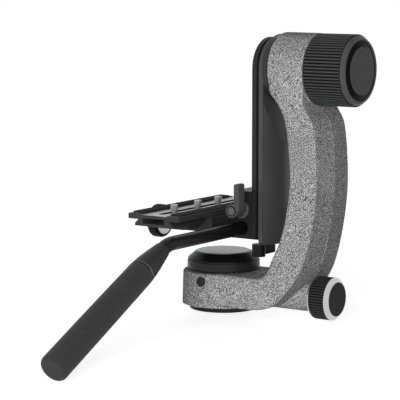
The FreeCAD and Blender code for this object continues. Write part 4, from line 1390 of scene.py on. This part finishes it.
@dataclass
class PanBar(SubAssembly):
    """Bent tube with a moulded adapter and a foam grip; `along` is counted from its bend."""

    bend_at: Point = (38.5, -140.0, 76.5)
    grip_from: float = 38.5
    grip_length: float = 127.0
    start_r: float = 11.0
    end_r: float = 11.7
    end_round: float = 3.0
    cap_h: float = 2.6
    shoulder: Profile = ((2.2, 0.0), (2.0, 0.5), (0.7, 1.0))
    shoulder_h: float = 2.2
    swell: float = 0.12
    skin: float = 0.1
    rings: int = 40
    bead_r: float = 10.75
    bead_w: float = 0.9
    bead_wall: float = 1.6
    bead_round: float = 0.3
    bead_steps: int = 3
    bead_gap: float = 0.05
    steps: int = 72

    def build(self) -> None:
        """Dresses the tube and adapter, and makes the bead and the foam grip."""
        tube = Moulded("bar_black", (0.005, 0.005, 0.0052), roughness=0.2, grain_mm=0.8,
                       relief_mm=0.006, gloss=0.12)
        adapter = Moulded("adapter_black", (0.024, 0.024, 0.025), roughness=0.34, gloss=0.12)
        # The bead is the adapter's black plastic in a lighter colour: a painted highlight along
        # its rounded edge.
        ring = Moulded("adapter_bead", (0.1, 0.1, 0.102), roughness=0.4)
        self.shop.dress(tube, "bar_tube")
        self.shop.dress(adapter, "bar_adapter")
        self.shop.dress(Foam("handle_foam"), "bar_end_cap")
        self.shop.fit(self.bead(), "pan_bar", "lever_plastic", finish=ring)
        grip = self.grip()
        self.shop.fit(grip, "pan_bar", "foam_rubber", "bar_grip", finish=Foam("grip_foam"))

    def at(self, along: float) -> Point:
        """Point on the grip's axis."""
        return tuple(Vector(self.bend_at) + Vector(Axis.HANDLE.value) * along)

    def bead(self) -> Piece:
        """Turns the rounded bead that ends the adapter in front of the foam.

        Returns:
            The bead.
        """
        inner_r = self.bead_r - self.bead_wall
        corners = ((inner_r, 0.0), (self.bead_r, 0.0), (self.bead_r, self.bead_w),
                   (inner_r, self.bead_w))
        profile = rounded(corners, (0.0, self.bead_round, self.bead_round, 0.0), self.bead_steps)
        at = self.at(self.grip_from - self.bead_w - self.bead_gap)
        return turned_piece("bar_adapter_bead", profile, Axis.HANDLE, at, self.steps)

    def grip(self) -> Piece:
        """Turns the foam grip, slightly fuller in its middle, with a soft shoulder.

        Returns:
            The grip.
        """
        length = self.grip_length - self.end_round - self.cap_h
        profile = [(0.0, 0.0), *((self.start_r - inset, up) for inset, up in self.shoulder)]
        for i in range(self.rings + 1):
            share = i / self.rings
            swell = self.swell * math.sin(math.pi * share)
            radius = self.start_r + (self.end_r - self.start_r) * share + swell - self.skin
            profile.append((radius, self.shoulder_h + (length - self.shoulder_h) * share))
        profile.append((0.0, length))
        at = self.at(self.grip_from)
        return turned_piece("bar_foam_grip", profile, Axis.HANDLE, at, self.steps)


# ---- studio


def looking(at: Point, to: Point) -> Matrix:
    """Place of a lamp or camera that stands at one point and looks at another, in metres."""
    way = Vector(to) - Vector(at)
    return Matrix.Translation(Vector(at)) @ way.to_track_quat("-Z", "Y").to_matrix().to_4x4()


@dataclass(frozen=True)
class StudioPaper:
    """Pale floor that takes the object's shadow, and turns plain white further out."""

    name: str = "studio_paper"
    middle: Point = (0.0, -80.0, 0.0)
    shadow_r: float = 350.0
    white_r: float = 950.0
    lift: float = 0.74
    roughness: float = 0.9
    gloss: float = 0.1
    fibre_per_m: float = 900.0
    fibre: tuple[tuple[float, Colour], ...] = ((0.3, (0.78, 0.78, 0.78)),
                                               (0.7, (0.82, 0.82, 0.82)))

    def material(self) -> Material:
        """Builds the paper, with a glow that only the camera and reflections see.

        Returns:
            The paper.
        """
        bench = Bench(self.name)
        out = bench.radius(Axis.Z, self.middle)
        near = bench.span(out, self.shadow_r * MM, self.white_r * MM, 1.0, 0.0)
        seen = bench.seen()
        glow = bench.step("ShaderNodeEmission", {"Color": WHITE, "Strength": 1.0})
        lift = bench.step("ShaderNodeEmission", {
            "Color": WHITE, "Strength": bench.maths("MULTIPLY", seen, self.lift),
        })
        fibre = bench.noise(self.fibre_per_m, detail=3.0)
        bench.finish(bench.ramp(fibre, self.fibre), self.roughness, self.gloss)
        paper = bench.step("ShaderNodeAddShader", {0: bench.shader.outputs[0],
                                                   1: lift.outputs[0]})
        away = bench.maths("MULTIPLY", bench.maths("SUBTRACT", 1.0, near), seen)
        whole = bench.step("ShaderNodeMixShader", {0: away, 1: paper.outputs[0],
                                                   2: glow.outputs[0]})
        bench.feed(bench.tree.nodes["Material Output"].inputs["Surface"], whole.outputs[0])
        return bench.material


@dataclass(frozen=True)
class Lamp:
    """Soft square lamp that looks at the object's middle and stays out of reflections."""

    name: str
    at: Point
    side: float
    watts: float


@dataclass
class Studio:
    """Pale floor, soft lamps and the camera; lengths are in metres."""

    middle: Point = (0.02, -0.04, 0.12)
    camera_at: Point = (0.89513, -1.35181, 0.30673)
    camera_to: Point = (-0.01709, -0.01163, 0.09424)
    lens: float = 169.28
    sensor: float = 36.0
    ambient: float = 0.1
    floor_half: float = 4.0
    lamps: tuple[Lamp, ...] = (
        Lamp("key", (0.70, -1.56, 0.36), side=0.7, watts=27.0),
        Lamp("back", (-0.75, 1.42, 0.30), side=0.9, watts=16.0),
    )

    def build(self, floor_z: float) -> None:
        """Sets up the floor, world, lamps and camera.

        Args:
            floor_z: height of the floor.
        """
        self.floor(floor_z)
        self.world()
        for lamp in self.lamps:
            self.light(lamp)
        self.camera()
        bpy.context.scene.view_settings.view_transform = "Standard"
        LOG.info("studio stands, floor at %.4f m", floor_z)

    def floor(self, floor_z: float) -> None:
        """Lays the floor.

        Args:
            floor_z: height of the floor.
        """
        half = self.floor_half
        mesh = bpy.data.meshes.new("studio_floor")
        corners = [(x * half, y * half, floor_z) for x, y in ((-1, -1), (1, -1), (1, 1), (-1, 1))]
        mesh.from_pydata(corners, [], [(0, 1, 2, 3)])
        mesh.materials.append(StudioPaper().material())
        in_scene("studio_floor", mesh)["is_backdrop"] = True

    def world(self) -> None:
        """Sets a plain white surround that lights the object at the ambient level only."""
        world = bpy.data.worlds.new("studio_world")
        world.use_nodes = True
        tree = NodeTree(world.node_tree)
        level = tree.step("ShaderNodeMapRange", {
            "To Min": self.ambient, "To Max": 1.0, "Value": tree.seen(),
        })
        back = tree.tree.nodes["Background"]
        tree.feed(back.inputs["Color"], WHITE)
        tree.feed(back.inputs["Strength"], level.outputs["Result"])
        bpy.context.scene.world = world

    def light(self, lamp: Lamp) -> None:
        """Hangs one lamp, turned towards the object's middle.

        Args:
            lamp: the lamp.
        """
        data = bpy.data.lights.new(lamp.name, "AREA")
        data.shape = "SQUARE"
        data.size = lamp.side
        data.energy = lamp.watts
        thing = in_scene(lamp.name, data)
        thing.visible_glossy = False
        thing.matrix_world = looking(lamp.at, self.middle)

    def camera(self) -> None:
        """Sets the camera."""
        data = bpy.data.cameras.new("camera")
        data.lens = self.lens
        data.sensor_width = self.sensor
        thing = in_scene("camera", data)
        thing.matrix_world = looking(self.camera_at, self.camera_to)
        bpy.context.scene.camera = thing


def plain_box(box: Iterable[Iterable[float]]) -> list[list[float]]:
    """Turns a pair of corners into plain lists of numbers."""
    return [[float(value) for value in corner] for corner in box]


def main() -> None:
    """Builds the head's sub-assemblies in order, then the studio."""
    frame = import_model()
    solids = plain_box(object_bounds())
    shop = Shop(frame)
    for kind in (PanBase, CastArm, TiltAxle, TiltKnob, PanKnob, SwingRail, HeightBlock, Clamp,
                 SlidingPlate, PanBar):
        kind(shop).build()
        LOG.info("finished %s", kind.__name__)
    Studio().build(solids[0][2] - FLOOR_GAP)


if __name__ == "__main__":
    logging.basicConfig(level=logging.INFO, format="%(message)s")
    main()
